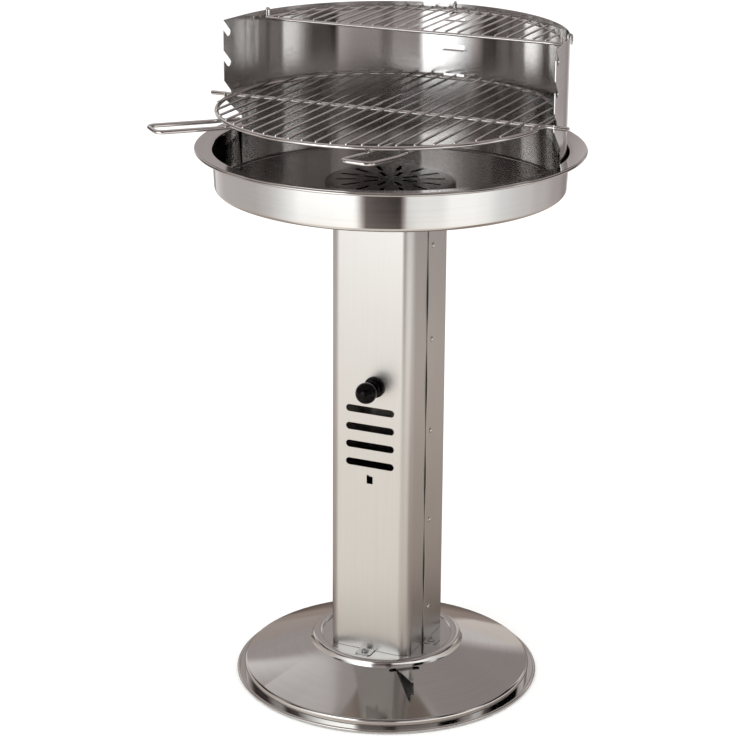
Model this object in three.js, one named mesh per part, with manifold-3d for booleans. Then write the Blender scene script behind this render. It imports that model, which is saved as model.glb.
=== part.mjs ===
// Charcoal pillar barbecue: a pressed stainless base, a folded box column with a sliding
// air damper, a round fire bowl, a notched half-round wind shield, a welded wire cooking
// grate that hooks into the shield and a small warming rack that hangs on its top edge.
// Millimetres, +Z up. The open front of the shield faces -Y.
import * as THREE from 'three';
import { mergeVertices } from 'three/addons/utils/BufferGeometryUtils.js';
import Module from 'manifold-3d';

const wasm = await Module();
wasm.setup();

// Workmanship
const seatGap = 0.3;
const cutOverrun = 2;
const weldTolerance = 0.0005;

// Fineness of round forms, in counts
const turnedSides = 48;
const smallTurnedSides = 24;
const fastenerSides = 8;
const holeSides = 8;
const wireSides = 6;
const barSides = 5;
const bendSteps = 4;
const filletSteps = 3;
const slotEndSteps = 2;

// Sheet metal
const sheet = 0.8;
const baseSheet = 1.0;

// Base plate
const baseRadius = 187.5;
const baseRimWidth = 4.4;
const baseRimHeight = 4.2;
const baseWallRadius = 178.5;
const baseWallFoot = 3.4;
const baseShoulderHeight = 14.5;
const baseShoulderRadius = 5;
const coneTopRadius = 95;
const coneTopHeight = 42;
const ringBeadOuterRadius = 92.5;
const ringBeadInnerRadius = 80;
const ringBeadRise = 3.6;
const plateauHeight = 46;

// Lanced tongue in the cone of the base
const tongueAngle = 37 * Math.PI / 180;
const tongueRootWidth = 23;
const tongueTipWidth = 4;
const tongueLength = 47;
const tongueTipRise = 3;
const tongueSlotLength = 38;
const tongueSlotWidth = 5;

// Column, two folded shells lapped along the sides
const columnWidth = 106;
const columnDepth = 114;
const columnHeight = 574.9;
const columnCornerRadius = 14;
const frontShellReach = 13;
const rearShellReach = 8.8;
const columnFoot = plateauHeight + seatGap;
const columnTop = columnFoot + columnHeight;

// Rivets in the lap seams
const rivetCount = 5;
const lowestRivetInset = 43.7;
const highestRivetInset = 65.6;
const rivetBehindAxis = 4.2;
const rivetRadius = 1.6;
const rivetHeadRadius = 3.2;
const rivetHeadHeight = 1.4;

// Out-turned lugs at both ends of the column, with their screws
const lugReach = 17;
const lugWidth = 20;
const lugHoleOffset = 8;
const screwRadius = 2;
const screwHeadRadius = 4.4;
const screwHeadHeight = 2.6;
const screwLength = 11;
const holeClearance = 0.3;
const nutAcross = 8.6;
const nutHeight = 3.2;
const boltHole = screwRadius + holeClearance;

// Vent slots in the column and in the damper
const ventCount = 4;
const ventOffset = 1.3;
const damperCornerClearance = 0.7;
const damperRim = 5.5;
const damperHalfWidth = columnWidth / 2 - columnCornerRadius - ventOffset - damperCornerClearance;
const ventLength = 2 * (damperHalfWidth - damperRim);
const ventHeight = 9;
const ventPitch = 22.7;
const highestVentInset = 261.7;
const highestVent = columnTop - highestVentInset;
const lowestVent = highestVent - (ventCount - 1) * ventPitch;

// Guide tab lanced out of the column face, below the vents
const guideBelowVents = 10;
const guideTop = lowestVent - ventHeight / 2 - guideBelowVents;
const guideWidth = 8;
const guideHeight = 11;
const guideReach = 5;
const guideLip = 4;

// Damper plate, its stud, washer and nut, and its knob
const damperTravel = 10;
const damperTopMargin = 14;
const damperTail = 15;
const knobAboveVents = 30.9;
const knobHeight = highestVent + knobAboveVents;
const knobOffset = 7.3;
const studRadius = 2;
const studLength = 22;
const washerRadius = 6;
const washerThickness = 1;
const knobDiscRadius = 13.2;
const knobDiscHeight = 3.5;
const knobNeckRadius = 6.5;
const knobNeckHeight = 11;
const knobBallRadius = 12.8;
const knobBallHeight = 24.5;
const knobBoreDepth = 14;

// Fire bowl
const bowlRadius = 230;
const bowlDepth = 50;
const bowlBeadRadius = 1.9;
const bowlFlangeDrop = 1.6;
const bowlFlangeWidth = 21;
const bowlWallDraft = 1.8;
const bowlShoulderRadius = 3;
const bowlCornerRadius = 5;
const bowlMouthMargin = 7;
const bowlMouthRadius = columnWidth / 2 - bowlMouthMargin;
const bowlFloor = columnTop + seatGap + sheet;
const bowlFlangeHeight = columnTop + seatGap + bowlDepth;
const bowlWallTopRadius = bowlRadius - bowlFlangeWidth;
const bowlWallFootRadius = bowlWallTopRadius - bowlWallDraft;

// Charcoal grate, a slotted pressed disc on a turned-down skirt
const coalGrateClearance = 8;
const coalGrateRadius = columnDepth / 2 + lugHoleOffset + screwHeadRadius + coalGrateClearance;
const coalGrateHeight = 8;
const coalGrateSheet = 1.5;
const coalSlotWidth = 5;
const innerSlots = { count: 8, radiusShare: 0.32, lengthShare: 0.26 };
const outerSlots = { count: 14, radiusShare: 0.68, lengthShare: 0.32 };

// Wind shield
const shieldClearance = 3.7;
const shieldRadius = bowlWallTopRadius - shieldClearance;
const shieldAboveFlange = 133.5;
const shieldTop = bowlFlangeHeight + shieldAboveFlange;
const shieldSplay = 7 * Math.PI / 180;
const shieldStripFront = 20;
const notchCount = 3;
const notchPitch = 36.4;
const notchWidth = 9;
const notchSlant = 45 * Math.PI / 180;
const shieldTrimBelowGrate = 3;
const shieldTrimHeight = 28;
const shieldTrimRear = 16;
const shelfWidth = 27;
const shelfReach = 10;
const shelfSlotHeight = 6;
const shelfOffset = -6;

// Cooking grate, hung a little to the left of the axis and ahead of it
const grateOffset = -4;
const grateAhead = 3;
const rimInset = 7.3;
const rimRadius = shieldRadius - rimInset;
const rimWire = 2.5;
const grateAboveFlange = 43;
const grateHeight = bowlFlangeHeight + grateAboveFlange;
const crossbarWire = 2.5;
const crossbarAhead = 10;
const crossbarEndReach = 22.7;
const crossbarHalfLength = shieldRadius + crossbarEndReach;
const grateBarWire = 1.5;
const grateBarPitch = 17.3;
const grateBarOverhang = 1.6;
const weldSink = 0.5;

// Grate handles, U-shaped wires under the rim
const handleWire = 2.5;
const handleBend = 9;
const handleInside = 26;
const handleWidth = 36;
const frontHandleAngle = -6.5 * Math.PI / 180;
const frontHandleOffset = 102.5;
const frontHandleLength = 41.86;
const frontHandleRise = 4.5;
const leftHandleAngle = -43.3 * Math.PI / 180;
const leftHandleOffset = -14;
const leftHandleLength = 83;
const leftHandleRise = 1;

// Warming rack and its three hanging hooks
const rackBelowShieldTop = 7;
const rackHeight = shieldTop - rackBelowShieldTop;
const rackInset = 10.3;
const rackRadius = shieldRadius - rackInset;
const rackChordBehind = 50;
const rackWire = 2;
const rackBarWire = 1.3;
const rackBarPitch = 15.5;
const rackBarOverhang = 1.4;
const hookWire = 1.5;
const hookInside = 8;
const hookDrop = 10;
const hookBend = 3;
const sideHookAngle = 19 * Math.PI / 180;

// Finishes
const brushedSteel = { color: 0xb9b6b3, roughness: 0.34, metalness: 1 };
const polishedSteel = { color: 0xc9c7c5, roughness: 0.16, metalness: 1 };
const brightWire = { color: 0xd6d6d6, roughness: 0.18, metalness: 1 };
const zincSteel = { color: 0xa9aaad, roughness: 0.4, metalness: 1 };
const blackBakelite = { color: 0x0c0c0d, roughness: 0.12, metalness: 0 };

// Solids and meshes

function signedVolume(position, index) {
  const corner = [new THREE.Vector3(), new THREE.Vector3(), new THREE.Vector3()];
  let sum = 0;
  for (let i = 0; i < index.length; i += 3) {
    corner.forEach((vector, k) => vector.fromBufferAttribute(position, index[i + k]));
    sum += corner[0].dot(corner[1].cross(corner[2]));
  }
  return sum / 6;
}

// Turns a closed geometry into a solid, whichever way its faces wind.
function solidOf(geometry) {
  const bare = geometry.clone();
  bare.deleteAttribute('normal');
  bare.deleteAttribute('uv');
  const merged = mergeVertices(bare, weldTolerance);
  const source = Array.from(merged.index.array);
  const triangles = [];
  for (let i = 0; i < source.length; i += 3) {
    const [a, b, c] = source.slice(i, i + 3);
    if (a !== b && b !== c && c !== a) triangles.push(a, b, c);
  }
  if (signedVolume(merged.attributes.position, triangles) < 0) triangles.reverse();
  return new wasm.Manifold(new wasm.Mesh({
    numProp: 3,
    vertProperties: new Float32Array(merged.attributes.position.array),
    triVerts: new Uint32Array(triangles),
  }));
}

function geometryOf(solid) {
  const mesh = solid.getMesh();
  const geometry = new THREE.BufferGeometry();
  geometry.setAttribute('position', new THREE.BufferAttribute(new Float32Array(mesh.vertProperties), 3));
  geometry.setIndex(new THREE.BufferAttribute(new Uint32Array(mesh.triVerts), 1));
  geometry.computeVertexNormals();
  return geometry;
}

function joined(solids) {
  return solids.reduce((whole, piece) => whole.add(piece));
}

function cut(body, tools) {
  return tools.reduce((rest, tool) => rest.subtract(tool), body);
}

function addPiece(parent, name, solid, finish) {
  const mesh = new THREE.Mesh(geometryOf(solid), new THREE.MeshStandardMaterial(finish));
  mesh.name = name;
  parent.add(mesh);
  return mesh;
}

function placed(geometry, { turn = 0, tilt = 0, x = 0, y = 0, z = 0 } = {}) {
  const matrix = new THREE.Matrix4().makeRotationZ(turn);
  matrix.multiply(new THREE.Matrix4().makeRotationX(tilt));
  matrix.setPosition(x, y, z);
  return solidOf(geometry.clone().applyMatrix4(matrix));
}

// Basic forms

// A body of revolution about Z from [radius, height] pairs.
function turned(profile, sides = turnedSides) {
  const points = profile.map(([radius, height]) => new THREE.Vector2(radius, height));
  return new THREE.LatheGeometry(points, sides).rotateX(Math.PI / 2);
}

function rod(radius, length, sides) {
  return new THREE.CylinderGeometry(radius, radius, length, sides).rotateX(Math.PI / 2);
}

function block(width, depth, height) {
  return new THREE.BoxGeometry(width, depth, height);
}

function prism(shape, depth, curveSegments = bendSteps) {
  return new THREE.ExtrudeGeometry(shape, { depth, bevelEnabled: false, curveSegments });
}

function outline(points) {
  return new THREE.Shape(points.map(([x, y]) => new THREE.Vector2(x, y)));
}

// A slot with round ends, along X and centred on the given point.
function slotPath(length, height, x, y, path = new THREE.Shape()) {
  const radius = height / 2;
  const straight = length / 2 - radius;
  path.moveTo(x - straight, y - radius);
  path.lineTo(x + straight, y - radius);
  path.absarc(x + straight, y, radius, -Math.PI / 2, Math.PI / 2, false);
  path.lineTo(x - straight, y + radius);
  path.absarc(x - straight, y, radius, Math.PI / 2, 3 * Math.PI / 2, false);
  return path;
}

// Points on an arc in the profile plane, both ends included.
function arc(centreX, centreY, radius, from, to, steps = filletSteps) {
  return Array.from({ length: steps + 1 }, (_, i) => {
    const angle = from + (to - from) * i / steps;
    return [centreX + radius * Math.cos(angle), centreY + radius * Math.sin(angle)];
  });
}

// Closes an open profile into a sheet of the given thickness on its right-hand side.
function sheetProfile(path, thickness) {
  const points = path.map(([x, y]) => new THREE.Vector2(x, y));
  const normals = points.slice(1).map((point, i) => {
    const along = point.clone().sub(points[i]).normalize();
    return new THREE.Vector2(along.y, -along.x);
  });
  const back = points.map((point, i) => {
    const before = normals[Math.max(i - 1, 0)];
    const after = normals[Math.min(i, normals.length - 1)];
    const mean = before.clone().add(after).normalize();
    return point.clone().addScaledVector(mean, thickness / mean.dot(after));
  });
  const loop = [...points, ...back.reverse(), points[0]];
  return loop.map((point) => [Math.max(point.x, 0), point.y]);
}

// A wire swept along stations, one ring of the section at each station.
class Route extends THREE.Curve {
  constructor(stations) {
    super();
    this.stations = stations;
  }

  getPoint(t, target = new THREE.Vector3()) {
    const last = this.stations.length - 1;
    return target.copy(this.stations[Math.round(t * last)]);
  }

  getTangent(t, target = new THREE.Vector3()) {
    const last = this.stations.length - 1;
    const at = Math.round(t * last);
    const before = this.stations[Math.max(at - 1, 0)];
    const after = this.stations[Math.min(at + 1, last)];
    return target.copy(after).sub(before).normalize();
  }

  getPointAt(u, target) {
    return this.getPoint(u, target);
  }

  getTangentAt(u, target) {
    return this.getTangent(u, target);
  }
}

// Stations of a wire path: straight runs with round bends at the inner corners.
function bentStations(corners, bendRadius) {
  const stations = [corners[0]];
  for (let i = 1; i < corners.length - 1; i++) {
    const corner = corners[i];
    const toBefore = corners[i - 1].clone().sub(corner).normalize();
    const toAfter = corners[i + 1].clone().sub(corner).normalize();
    const half = toBefore.angleTo(toAfter) / 2;
    const middle = toBefore.clone().add(toAfter).normalize();
    const centre = corner.clone().addScaledVector(middle, bendRadius / Math.sin(half));
    const reach = bendRadius / Math.tan(half);
    const start = corner.clone().addScaledVector(toBefore, reach).sub(centre);
    const end = corner.clone().addScaledVector(toAfter, reach).sub(centre);
    const sweep = start.angleTo(end);
    for (let k = 0; k <= bendSteps; k++) {
      const share = k / bendSteps;
      const point = start.clone().multiplyScalar(Math.sin((1 - share) * sweep));
      point.addScaledVector(end, Math.sin(share * sweep)).divideScalar(Math.sin(sweep));
      stations.push(point.add(centre));
    }
  }
  stations.push(corners[corners.length - 1]);
  return stations;
}

function wire(stations, radius, sides = wireSides) {
  const section = new THREE.Shape(Array.from({ length: sides }, (_, i) => {
    const angle = 2 * Math.PI * (i + 0.5) / sides;
    return new THREE.Vector2(radius * Math.cos(angle), radius * Math.sin(angle));
  }));
  return new THREE.ExtrudeGeometry(section, {
    steps: stations.length - 1,
    bevelEnabled: false,
    extrudePath: new Route(stations),
  });
}

// Fasteners

// A pan-head screw along Z, its head standing on the origin and its shank below.
function screwProfile(headRadius, headHeight, shankRadius, length) {
  const crown = arc(0, 0, 1, 0, Math.PI / 2).map(([across, up]) => [across * headRadius, up * headHeight]);
  return [[0, -length], [shankRadius, -length], [shankRadius, 0], ...crown.slice(0, -1), [0, headHeight]];
}

function nut(across, height, bore) {
  const hexagon = new THREE.Shape(Array.from({ length: 6 }, (_, i) => {
    const angle = Math.PI * i / 3;
    return new THREE.Vector2(Math.cos(angle), Math.sin(angle)).multiplyScalar(across / 2);
  }));
  hexagon.holes.push(new THREE.Path().absarc(0, 0, bore, 0, 2 * Math.PI, true));
  return prism(hexagon, height, holeSides / 2);
}

const lugSides = ['front', 'right', 'rear', 'left'];
const lugTurns = lugSides.map((_, quarter) => quarter * Math.PI / 2);

const lugHoleX = columnWidth / 2 + lugHoleOffset;
const lugHoleY = columnDepth / 2 + lugHoleOffset;

// The same piece at each of the four lugs, turned with its side of the column.
function atLugs(geometry, z) {
  return lugTurns.map((turn) => placed(geometry, {
    turn,
    x: lugHoleX * Math.sin(turn),
    y: -lugHoleY * Math.cos(turn),
    z,
  }));
}

// Base plate

const coneSlope = Math.atan2(coneTopHeight - baseShoulderHeight, baseWallRadius - coneTopRadius);

function basePlateSolid() {
  const beadCentre = (ringBeadOuterRadius + ringBeadInnerRadius) / 2;
  const beadHalf = (ringBeadOuterRadius - ringBeadInnerRadius) / 2;
  const bead = arc(beadCentre, plateauHeight, 1, Math.PI, 0, bendSteps).map(([x, y]) => [
    beadCentre + (x - beadCentre) * beadHalf,
    plateauHeight + (y - plateauHeight) * ringBeadRise,
  ]);
  const shoulderY = baseShoulderHeight - baseShoulderRadius;
  const shoulder = arc(
    baseWallRadius - baseShoulderRadius, shoulderY, baseShoulderRadius, Math.PI / 2 - coneSlope, 0,
  );
  const path = [
    [0, plateauHeight],
    ...bead,
    [coneTopRadius, coneTopHeight],
    ...shoulder,
    [baseWallRadius, baseWallFoot],
    [baseRadius - baseRimWidth / 2, baseWallFoot],
  ];
  const plate = solidOf(turned(sheetProfile(path, baseSheet)));
  const rim = solidOf(turned(rimProfile()));
  return plate.add(rim);
}

// The rolled rim, flat where it stands on the ground.
function rimProfile() {
  const inner = baseRadius - baseRimWidth;
  const flat = baseRimWidth / 4;
  const crown = arc(baseRadius - baseRimWidth / 2, baseRimHeight / 2, 1, 0, Math.PI, bendSteps);
  const round = crown.map(([x, y]) => [
    baseRadius - baseRimWidth / 2 + (x - baseRadius + baseRimWidth / 2) * baseRimWidth / 2,
    baseRimHeight / 2 + (y - baseRimHeight / 2) * baseRimHeight / 2,
  ]);
  return [[inner + flat, 0], [baseRadius - flat, 0], ...round, [inner + flat, 0]];
}

// The tongue points outward along +X here and is turned to its bearing afterwards.
function tongueOpenings() {
  const reach = tongueLength * Math.cos(coneSlope);
  const triangle = outline([
    [coneTopRadius, -tongueRootWidth / 2],
    [coneTopRadius + reach, -tongueTipWidth / 2],
    [coneTopRadius + reach, tongueTipWidth / 2],
    [coneTopRadius, tongueRootWidth / 2],
  ]);
  const slot = slotPath(tongueSlotLength, tongueSlotWidth, 0, 0);
  const turn = tongueAngle - Math.PI / 2;
  const slotCentre = coneTopRadius + tongueSlotWidth / 2;
  const depth = 2 * coneTopHeight;
  return {
    triangle: placed(prism(triangle, depth), { turn }),
    slot: placed(prism(slot, depth), {
      turn: turn + Math.PI / 2,
      x: slotCentre * Math.cos(turn),
      y: slotCentre * Math.sin(turn),
    }),
  };
}

function tongueSolid() {
  const start = coneTopRadius - baseSheet;
  const side = outline([
    [start, coneTopHeight - baseSheet],
    [start + tongueLength, coneTopHeight + tongueTipRise - baseSheet],
    [start + tongueLength, coneTopHeight + tongueTipRise],
    [start, coneTopHeight],
  ]);
  const plan = outline([
    [start, -tongueRootWidth / 2 + seatGap],
    [start + tongueLength, -tongueTipWidth / 2],
    [start + tongueLength, tongueTipWidth / 2],
    [start, tongueRootWidth / 2 - seatGap],
  ]);
  const turn = tongueAngle - Math.PI / 2;
  const strip = prism(side, tongueRootWidth).translate(0, 0, -tongueRootWidth / 2);
  const flat = solidOf(strip.rotateX(Math.PI / 2)).intersect(solidOf(prism(plan, 2 * coneTopHeight)));
  return placed(geometryOf(flat), { turn });
}

function addBase(parent) {
  const { triangle, slot } = tongueOpenings();
  const bore = placed(rod(boltHole, 2 * plateauHeight, holeSides));
  const holes = atLugs(geometryOf(bore), plateauHeight);
  const plate = cut(basePlateSolid(), [triangle, slot, ...holes]).add(tongueSolid());
  addPiece(parent, 'base_plate', plate, brushedSteel);
}

// Column

// Half of a lapped box in plan: a face, two rounded corners and two sides that end at reach.
function channelShape(halfWidth, halfDepth, cornerRadius, reach) {
  const shape = new THREE.Shape();
  const inner = cornerRadius - sheet;
  const cornerX = halfWidth - cornerRadius;
  const cornerY = cornerRadius - halfDepth;
  shape.moveTo(-halfWidth, reach);
  shape.lineTo(-halfWidth, cornerY);
  shape.absarc(-cornerX, cornerY, cornerRadius, Math.PI, 3 * Math.PI / 2, false);
  shape.lineTo(cornerX, -halfDepth);
  shape.absarc(cornerX, cornerY, cornerRadius, -Math.PI / 2, 0, false);
  shape.lineTo(halfWidth, reach);
  shape.lineTo(halfWidth - sheet, reach);
  shape.lineTo(halfWidth - sheet, cornerY);
  shape.absarc(cornerX, cornerY, inner, 0, -Math.PI / 2, true);
  shape.lineTo(-cornerX, sheet - halfDepth);
  shape.absarc(-cornerX, cornerY, inner, -Math.PI / 2, -Math.PI, true);
  shape.lineTo(sheet - halfWidth, reach);
  return shape;
}

// One lug at each end of a side, both turned out from the sheet of that side.
function lugPair(turn, faceDistance, end) {
  const root = faceDistance - sheet;
  const reach = end - root;
  return [columnFoot, columnTop - sheet].map((z) => placed(block(lugWidth, reach, sheet), {
    turn,
    x: (root + reach / 2) * Math.sin(turn),
    y: -(root + reach / 2) * Math.cos(turn),
    z: z + sheet / 2,
  }));
}

function rivetPlaces() {
  const lowest = columnFoot + lowestRivetInset;
  const pitch = (columnTop - highestRivetInset - lowest) / (rivetCount - 1);
  return Array.from({ length: rivetCount }, (_, i) => lowest + i * pitch);
}

const rearShellHalf = columnWidth / 2 + sheet + seatGap;

function rivetHoles() {
  const bore = new THREE.CylinderGeometry(
    rivetRadius + holeClearance, rivetRadius + holeClearance, 2 * columnWidth, holeSides,
  ).rotateZ(Math.PI / 2);
  return rivetPlaces().map((z) => placed(bore, { y: rivetBehindAxis, z }));
}

function ventPlaces() {
  return Array.from({ length: ventCount }, (_, i) => highestVent - i * ventPitch);
}

// A cutter through the front face from a shape drawn in X and Z.
function faceCutter(shape, depth = 2 * sheet + 2 * cutOverrun) {
  const geometry = prism(shape, depth).rotateX(Math.PI / 2);
  return solidOf(geometry.translate(0, cutOverrun - columnDepth / 2 + depth / 2, 0));
}

const studSlotHeight = damperTravel + 2 * (studRadius + holeClearance);

function frontShellSolid() {
  const shape = channelShape(columnWidth / 2, columnDepth / 2, columnCornerRadius, frontShellReach);
  const shell = placed(prism(shape, columnHeight), { z: columnFoot });
  const vents = ventPlaces().map((z) => faceCutter(slotPath(ventLength, ventHeight, ventOffset, z)));
  const studWidth = 2 * (studRadius + holeClearance);
  const studSlot = slotPath(studSlotHeight, studWidth, 0, 0);
  const studCutter = faceCutter(studSlot);
  const upright = placed(geometryOf(studCutter).translate(0, columnDepth / 2, 0).rotateY(Math.PI / 2), {
    x: knobOffset,
    y: -columnDepth / 2,
    z: knobHeight + damperTravel / 2,
  });
  const guideLeft = ventOffset - guideWidth / 2;
  const guideRight = ventOffset + guideWidth / 2;
  const window = faceCutter(outline([
    [guideLeft, guideTop - guideHeight],
    [guideRight, guideTop - guideHeight],
    [guideRight, guideTop],
    [guideLeft, guideTop],
  ]));
  const lugs = lugPair(0, columnDepth / 2, columnDepth / 2 + lugReach);
  const bores = atLugs(rod(boltHole, 3 * columnTop, holeSides), 0).slice(0, 1);
  const cutters = [...vents, upright, window, ...rivetHoles(), ...bores];
  return cut(joined([shell, ...lugs]), cutters).add(guideSolid());
}

// The tab runs in through the damper's tail and turns down behind it.
function guideSolid() {
  const face = -columnDepth / 2;
  const width = guideWidth - 2 * seatGap;
  const shelf = placed(block(width, guideReach, sheet), {
    x: ventOffset,
    y: face + guideReach / 2,
    z: guideTop + sheet / 2,
  });
  const lip = placed(block(width, sheet, guideLip), {
    x: ventOffset,
    y: face + guideReach - sheet / 2,
    z: guideTop + sheet - guideLip / 2,
  });
  return shelf.add(lip);
}

function rearShellSolid() {
  const shape = channelShape(rearShellHalf, columnDepth / 2, columnCornerRadius + sheet, rearShellReach);
  const shell = placed(prism(shape, columnHeight), { turn: Math.PI, z: columnFoot });
  const sideEnd = columnWidth / 2 + lugReach;
  const sides = [lugTurns[1], lugTurns[3]].flatMap((turn) => lugPair(turn, rearShellHalf, sideEnd));
  const rear = lugPair(lugTurns[2], columnDepth / 2, columnDepth / 2 + lugReach);
  const bores = atLugs(rod(boltHole, 3 * columnTop, holeSides), 0).slice(1);
  return cut(joined([shell, ...sides, ...rear]), [...rivetHoles(), ...bores]);
}

// A seam rivet along Z: a domed head outside, the shank and an upset head inside.
function rivetGeometry() {
  const grip = rearShellHalf - columnWidth / 2 + sheet + 2 * seatGap;
  const dome = arc(0, 0, 1, 0, Math.PI / 2).map(([across, up]) => [
    across * rivetHeadRadius, seatGap + up * rivetHeadHeight,
  ]);
  const profile = [
    [0, -grip - rivetHeadHeight],
    [rivetHeadRadius * Math.SQRT1_2, -grip - rivetHeadHeight],
    [rivetHeadRadius * Math.SQRT1_2, -grip],
    [rivetRadius, -grip],
    [rivetRadius, seatGap],
    ...dome.slice(0, -1),
    [0, seatGap + rivetHeadHeight],
  ];
  return turned(profile, fastenerSides);
}

function addRivets(parent) {
  const seams = { left: -1, right: 1 };
  Object.entries(seams).forEach(([side, sign]) => {
    const rivet = rivetGeometry().rotateY(sign * Math.PI / 2);
    rivetPlaces().forEach((z, i) => {
      const solid = placed(rivet, { x: sign * rearShellHalf, y: rivetBehindAxis, z });
      addPiece(parent, `seam_rivet_${side}_${i + 1}`, solid, polishedSteel);
    });
  });
}

function addColumn(parent) {
  addPiece(parent, 'column_front_shell', frontShellSolid(), brushedSteel);
  addPiece(parent, 'column_rear_shell', rearShellSolid(), brushedSteel);
  addRivets(parent);
  const screwShape = screwProfile(screwHeadRadius, screwHeadHeight, screwRadius, screwLength);
  const screw = turned(screwShape, fastenerSides);
  const hexNut = nut(nutAcross, nutHeight, screwRadius + holeClearance);
  const fasteners = {
    foot_screw: atLugs(screw, columnFoot + sheet + seatGap),
    foot_nut: atLugs(hexNut, plateauHeight - baseSheet - seatGap - nutHeight),
    bowl_screw: atLugs(screw, bowlFloor + seatGap),
    bowl_nut: atLugs(hexNut, columnTop - sheet - seatGap - nutHeight),
  };
  Object.entries(fasteners).forEach(([name, solids]) => {
    solids.forEach((solid, i) => addPiece(parent, `${name}_${lugSides[i]}`, solid, zincSteel));
  });
}

// Air damper

const damperFront = -columnDepth / 2 + sheet + seatGap;

function damperPlateShape() {
  const left = ventOffset - damperHalfWidth;
  const right = ventOffset + damperHalfWidth;
  const foot = guideTop - damperTail;
  const top = knobHeight + damperTopMargin;
  const shape = outline([[left, foot], [right, foot], [right, top], [left, top]]);
  ventPlaces().forEach((z) => {
    shape.holes.push(slotPath(ventLength, ventHeight, ventOffset, z, new THREE.Path()));
  });
  const stud = new THREE.Path();
  stud.absarc(knobOffset, knobHeight, studRadius + holeClearance, 0, 2 * Math.PI, true);
  shape.holes.push(stud);
  const low = guideTop + sheet - guideLip - damperTravel;
  const high = guideTop + sheet + seatGap;
  const guideLeft = ventOffset - guideWidth / 2 - seatGap;
  const guideRight = ventOffset + guideWidth / 2 + seatGap;
  shape.holes.push(outline([[guideLeft, low], [guideRight, low], [guideRight, high], [guideLeft, high]]));
  return shape;
}

function knobProfile() {
  const bore = studRadius + holeClearance;
  const edge = knobDiscHeight / 2;
  const disc = arc(knobDiscRadius - edge, edge, edge, -Math.PI / 2, Math.PI / 2);
  const ballStart = -Math.acos(knobNeckRadius / knobBallRadius);
  const ball = arc(0, knobBallHeight, knobBallRadius, ballStart, Math.PI / 2, 2 * bendSteps);
  return [
    [0, knobBoreDepth],
    [bore, knobBoreDepth],
    [bore, 0],
    ...disc,
    [knobNeckRadius, (knobDiscHeight + knobNeckHeight) / 2],
    ...ball.slice(0, -1),
    [0, knobBallHeight + knobBallRadius],
  ];
}

// A turned piece on the knob's axis, drawn with its height running out of the column face.
function onKnobAxis(geometry, y) {
  return placed(geometry, { tilt: Math.PI / 2, x: knobOffset, y, z: knobHeight });
}

function addDamper(parent) {
  const plate = prism(damperPlateShape(), sheet).rotateX(Math.PI / 2).translate(0, damperFront + sheet, 0);
  addPiece(parent, 'damper_plate', solidOf(plate), zincSteel);
  const knobBack = -columnDepth / 2 - seatGap;
  const knob = turned(knobProfile(), smallTurnedSides);
  addPiece(parent, 'damper_knob', onKnobAxis(knob, knobBack), blackBakelite);
  const boreEnd = knobBack - knobBoreDepth + seatGap;
  const stud = placed(rod(studRadius, studLength, fastenerSides), {
    tilt: Math.PI / 2,
    x: knobOffset,
    y: boreEnd + studLength / 2,
    z: knobHeight,
  });
  addPiece(parent, 'damper_stud', stud, zincSteel);
  const washerBack = damperFront + sheet + seatGap + washerThickness;
  const washerShape = new THREE.Shape().absarc(0, 0, washerRadius, 0, 2 * Math.PI, false);
  const washerHole = new THREE.Path().absarc(0, 0, studRadius + holeClearance, 0, 2 * Math.PI, true);
  washerShape.holes.push(washerHole);
  const washer = prism(washerShape, washerThickness, smallTurnedSides / 4);
  addPiece(parent, 'damper_washer', onKnobAxis(washer, washerBack), zincSteel);
  const nutBack = washerBack + seatGap + nutHeight;
  const damperNut = nut(nutAcross, nutHeight, studRadius + holeClearance);
  addPiece(parent, 'damper_nut', onKnobAxis(damperNut, nutBack), zincSteel);
}

// Fire bowl

function bowlSolid() {
  const cornerCentre = bowlFloor - sheet + bowlCornerRadius;
  const corner = arc(
    bowlWallFootRadius - bowlCornerRadius, cornerCentre, bowlCornerRadius, -Math.PI / 2, 0,
  );
  const beadCentre = bowlFlangeHeight - bowlBeadRadius;
  const flangeInner = beadCentre + bowlBeadRadius - sheet / 2 - bowlFlangeDrop;
  const shoulder = arc(
    bowlWallTopRadius + bowlShoulderRadius, flangeInner - bowlShoulderRadius, bowlShoulderRadius,
    Math.PI, Math.PI / 2,
  );
  const path = [
    [bowlMouthRadius, bowlFloor - sheet],
    ...corner,
    ...shoulder,
    [bowlRadius - bowlBeadRadius, bowlFlangeHeight - sheet / 2],
  ];
  const pan = solidOf(turned(sheetProfile(path.reverse(), sheet)));
  const bead = solidOf(new THREE.TorusGeometry(
    bowlRadius - bowlBeadRadius, bowlBeadRadius, wireSides, turnedSides,
  ).translate(0, 0, beadCentre));
  const holes = atLugs(rod(boltHole, 2 * cutOverrun + sheet, holeSides), bowlFloor - sheet / 2);
  return cut(pan.add(bead), holes);
}

// A slotted disc with a turned-down skirt that stands on the bowl floor.
function coalGrateSolid() {
  const foot = bowlFloor + seatGap;
  const top = foot + coalGrateHeight;
  const edge = arc(
    coalGrateRadius - coalGrateHeight / 2, top - coalGrateHeight / 2, coalGrateHeight / 2, Math.PI / 2, 0,
  );
  const path = [[0, top], ...edge, [coalGrateRadius, foot]];
  const disc = solidOf(turned(sheetProfile(path, coalGrateSheet), smallTurnedSides));
  const slots = [innerSlots, outerSlots].flatMap(({ count, radiusShare, lengthShare }) => {
    const radius = radiusShare * coalGrateRadius;
    const slot = slotPath(lengthShare * coalGrateRadius, coalSlotWidth, 0, 0);
    const cutter = prism(slot, coalGrateHeight, slotEndSteps);
    return Array.from({ length: count }, (_, i) => {
      const turn = 2 * Math.PI * i / count;
      return placed(cutter, {
        turn,
        x: radius * Math.cos(turn),
        y: radius * Math.sin(turn),
        z: top - coalGrateHeight / 2,
      });
    });
  });
  return cut(disc, slots);
}

// Wind shield

const seatHeight = grateHeight - crossbarWire - seatGap;
const shieldFoot = bowlFloor + bowlCornerRadius / 2;

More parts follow.
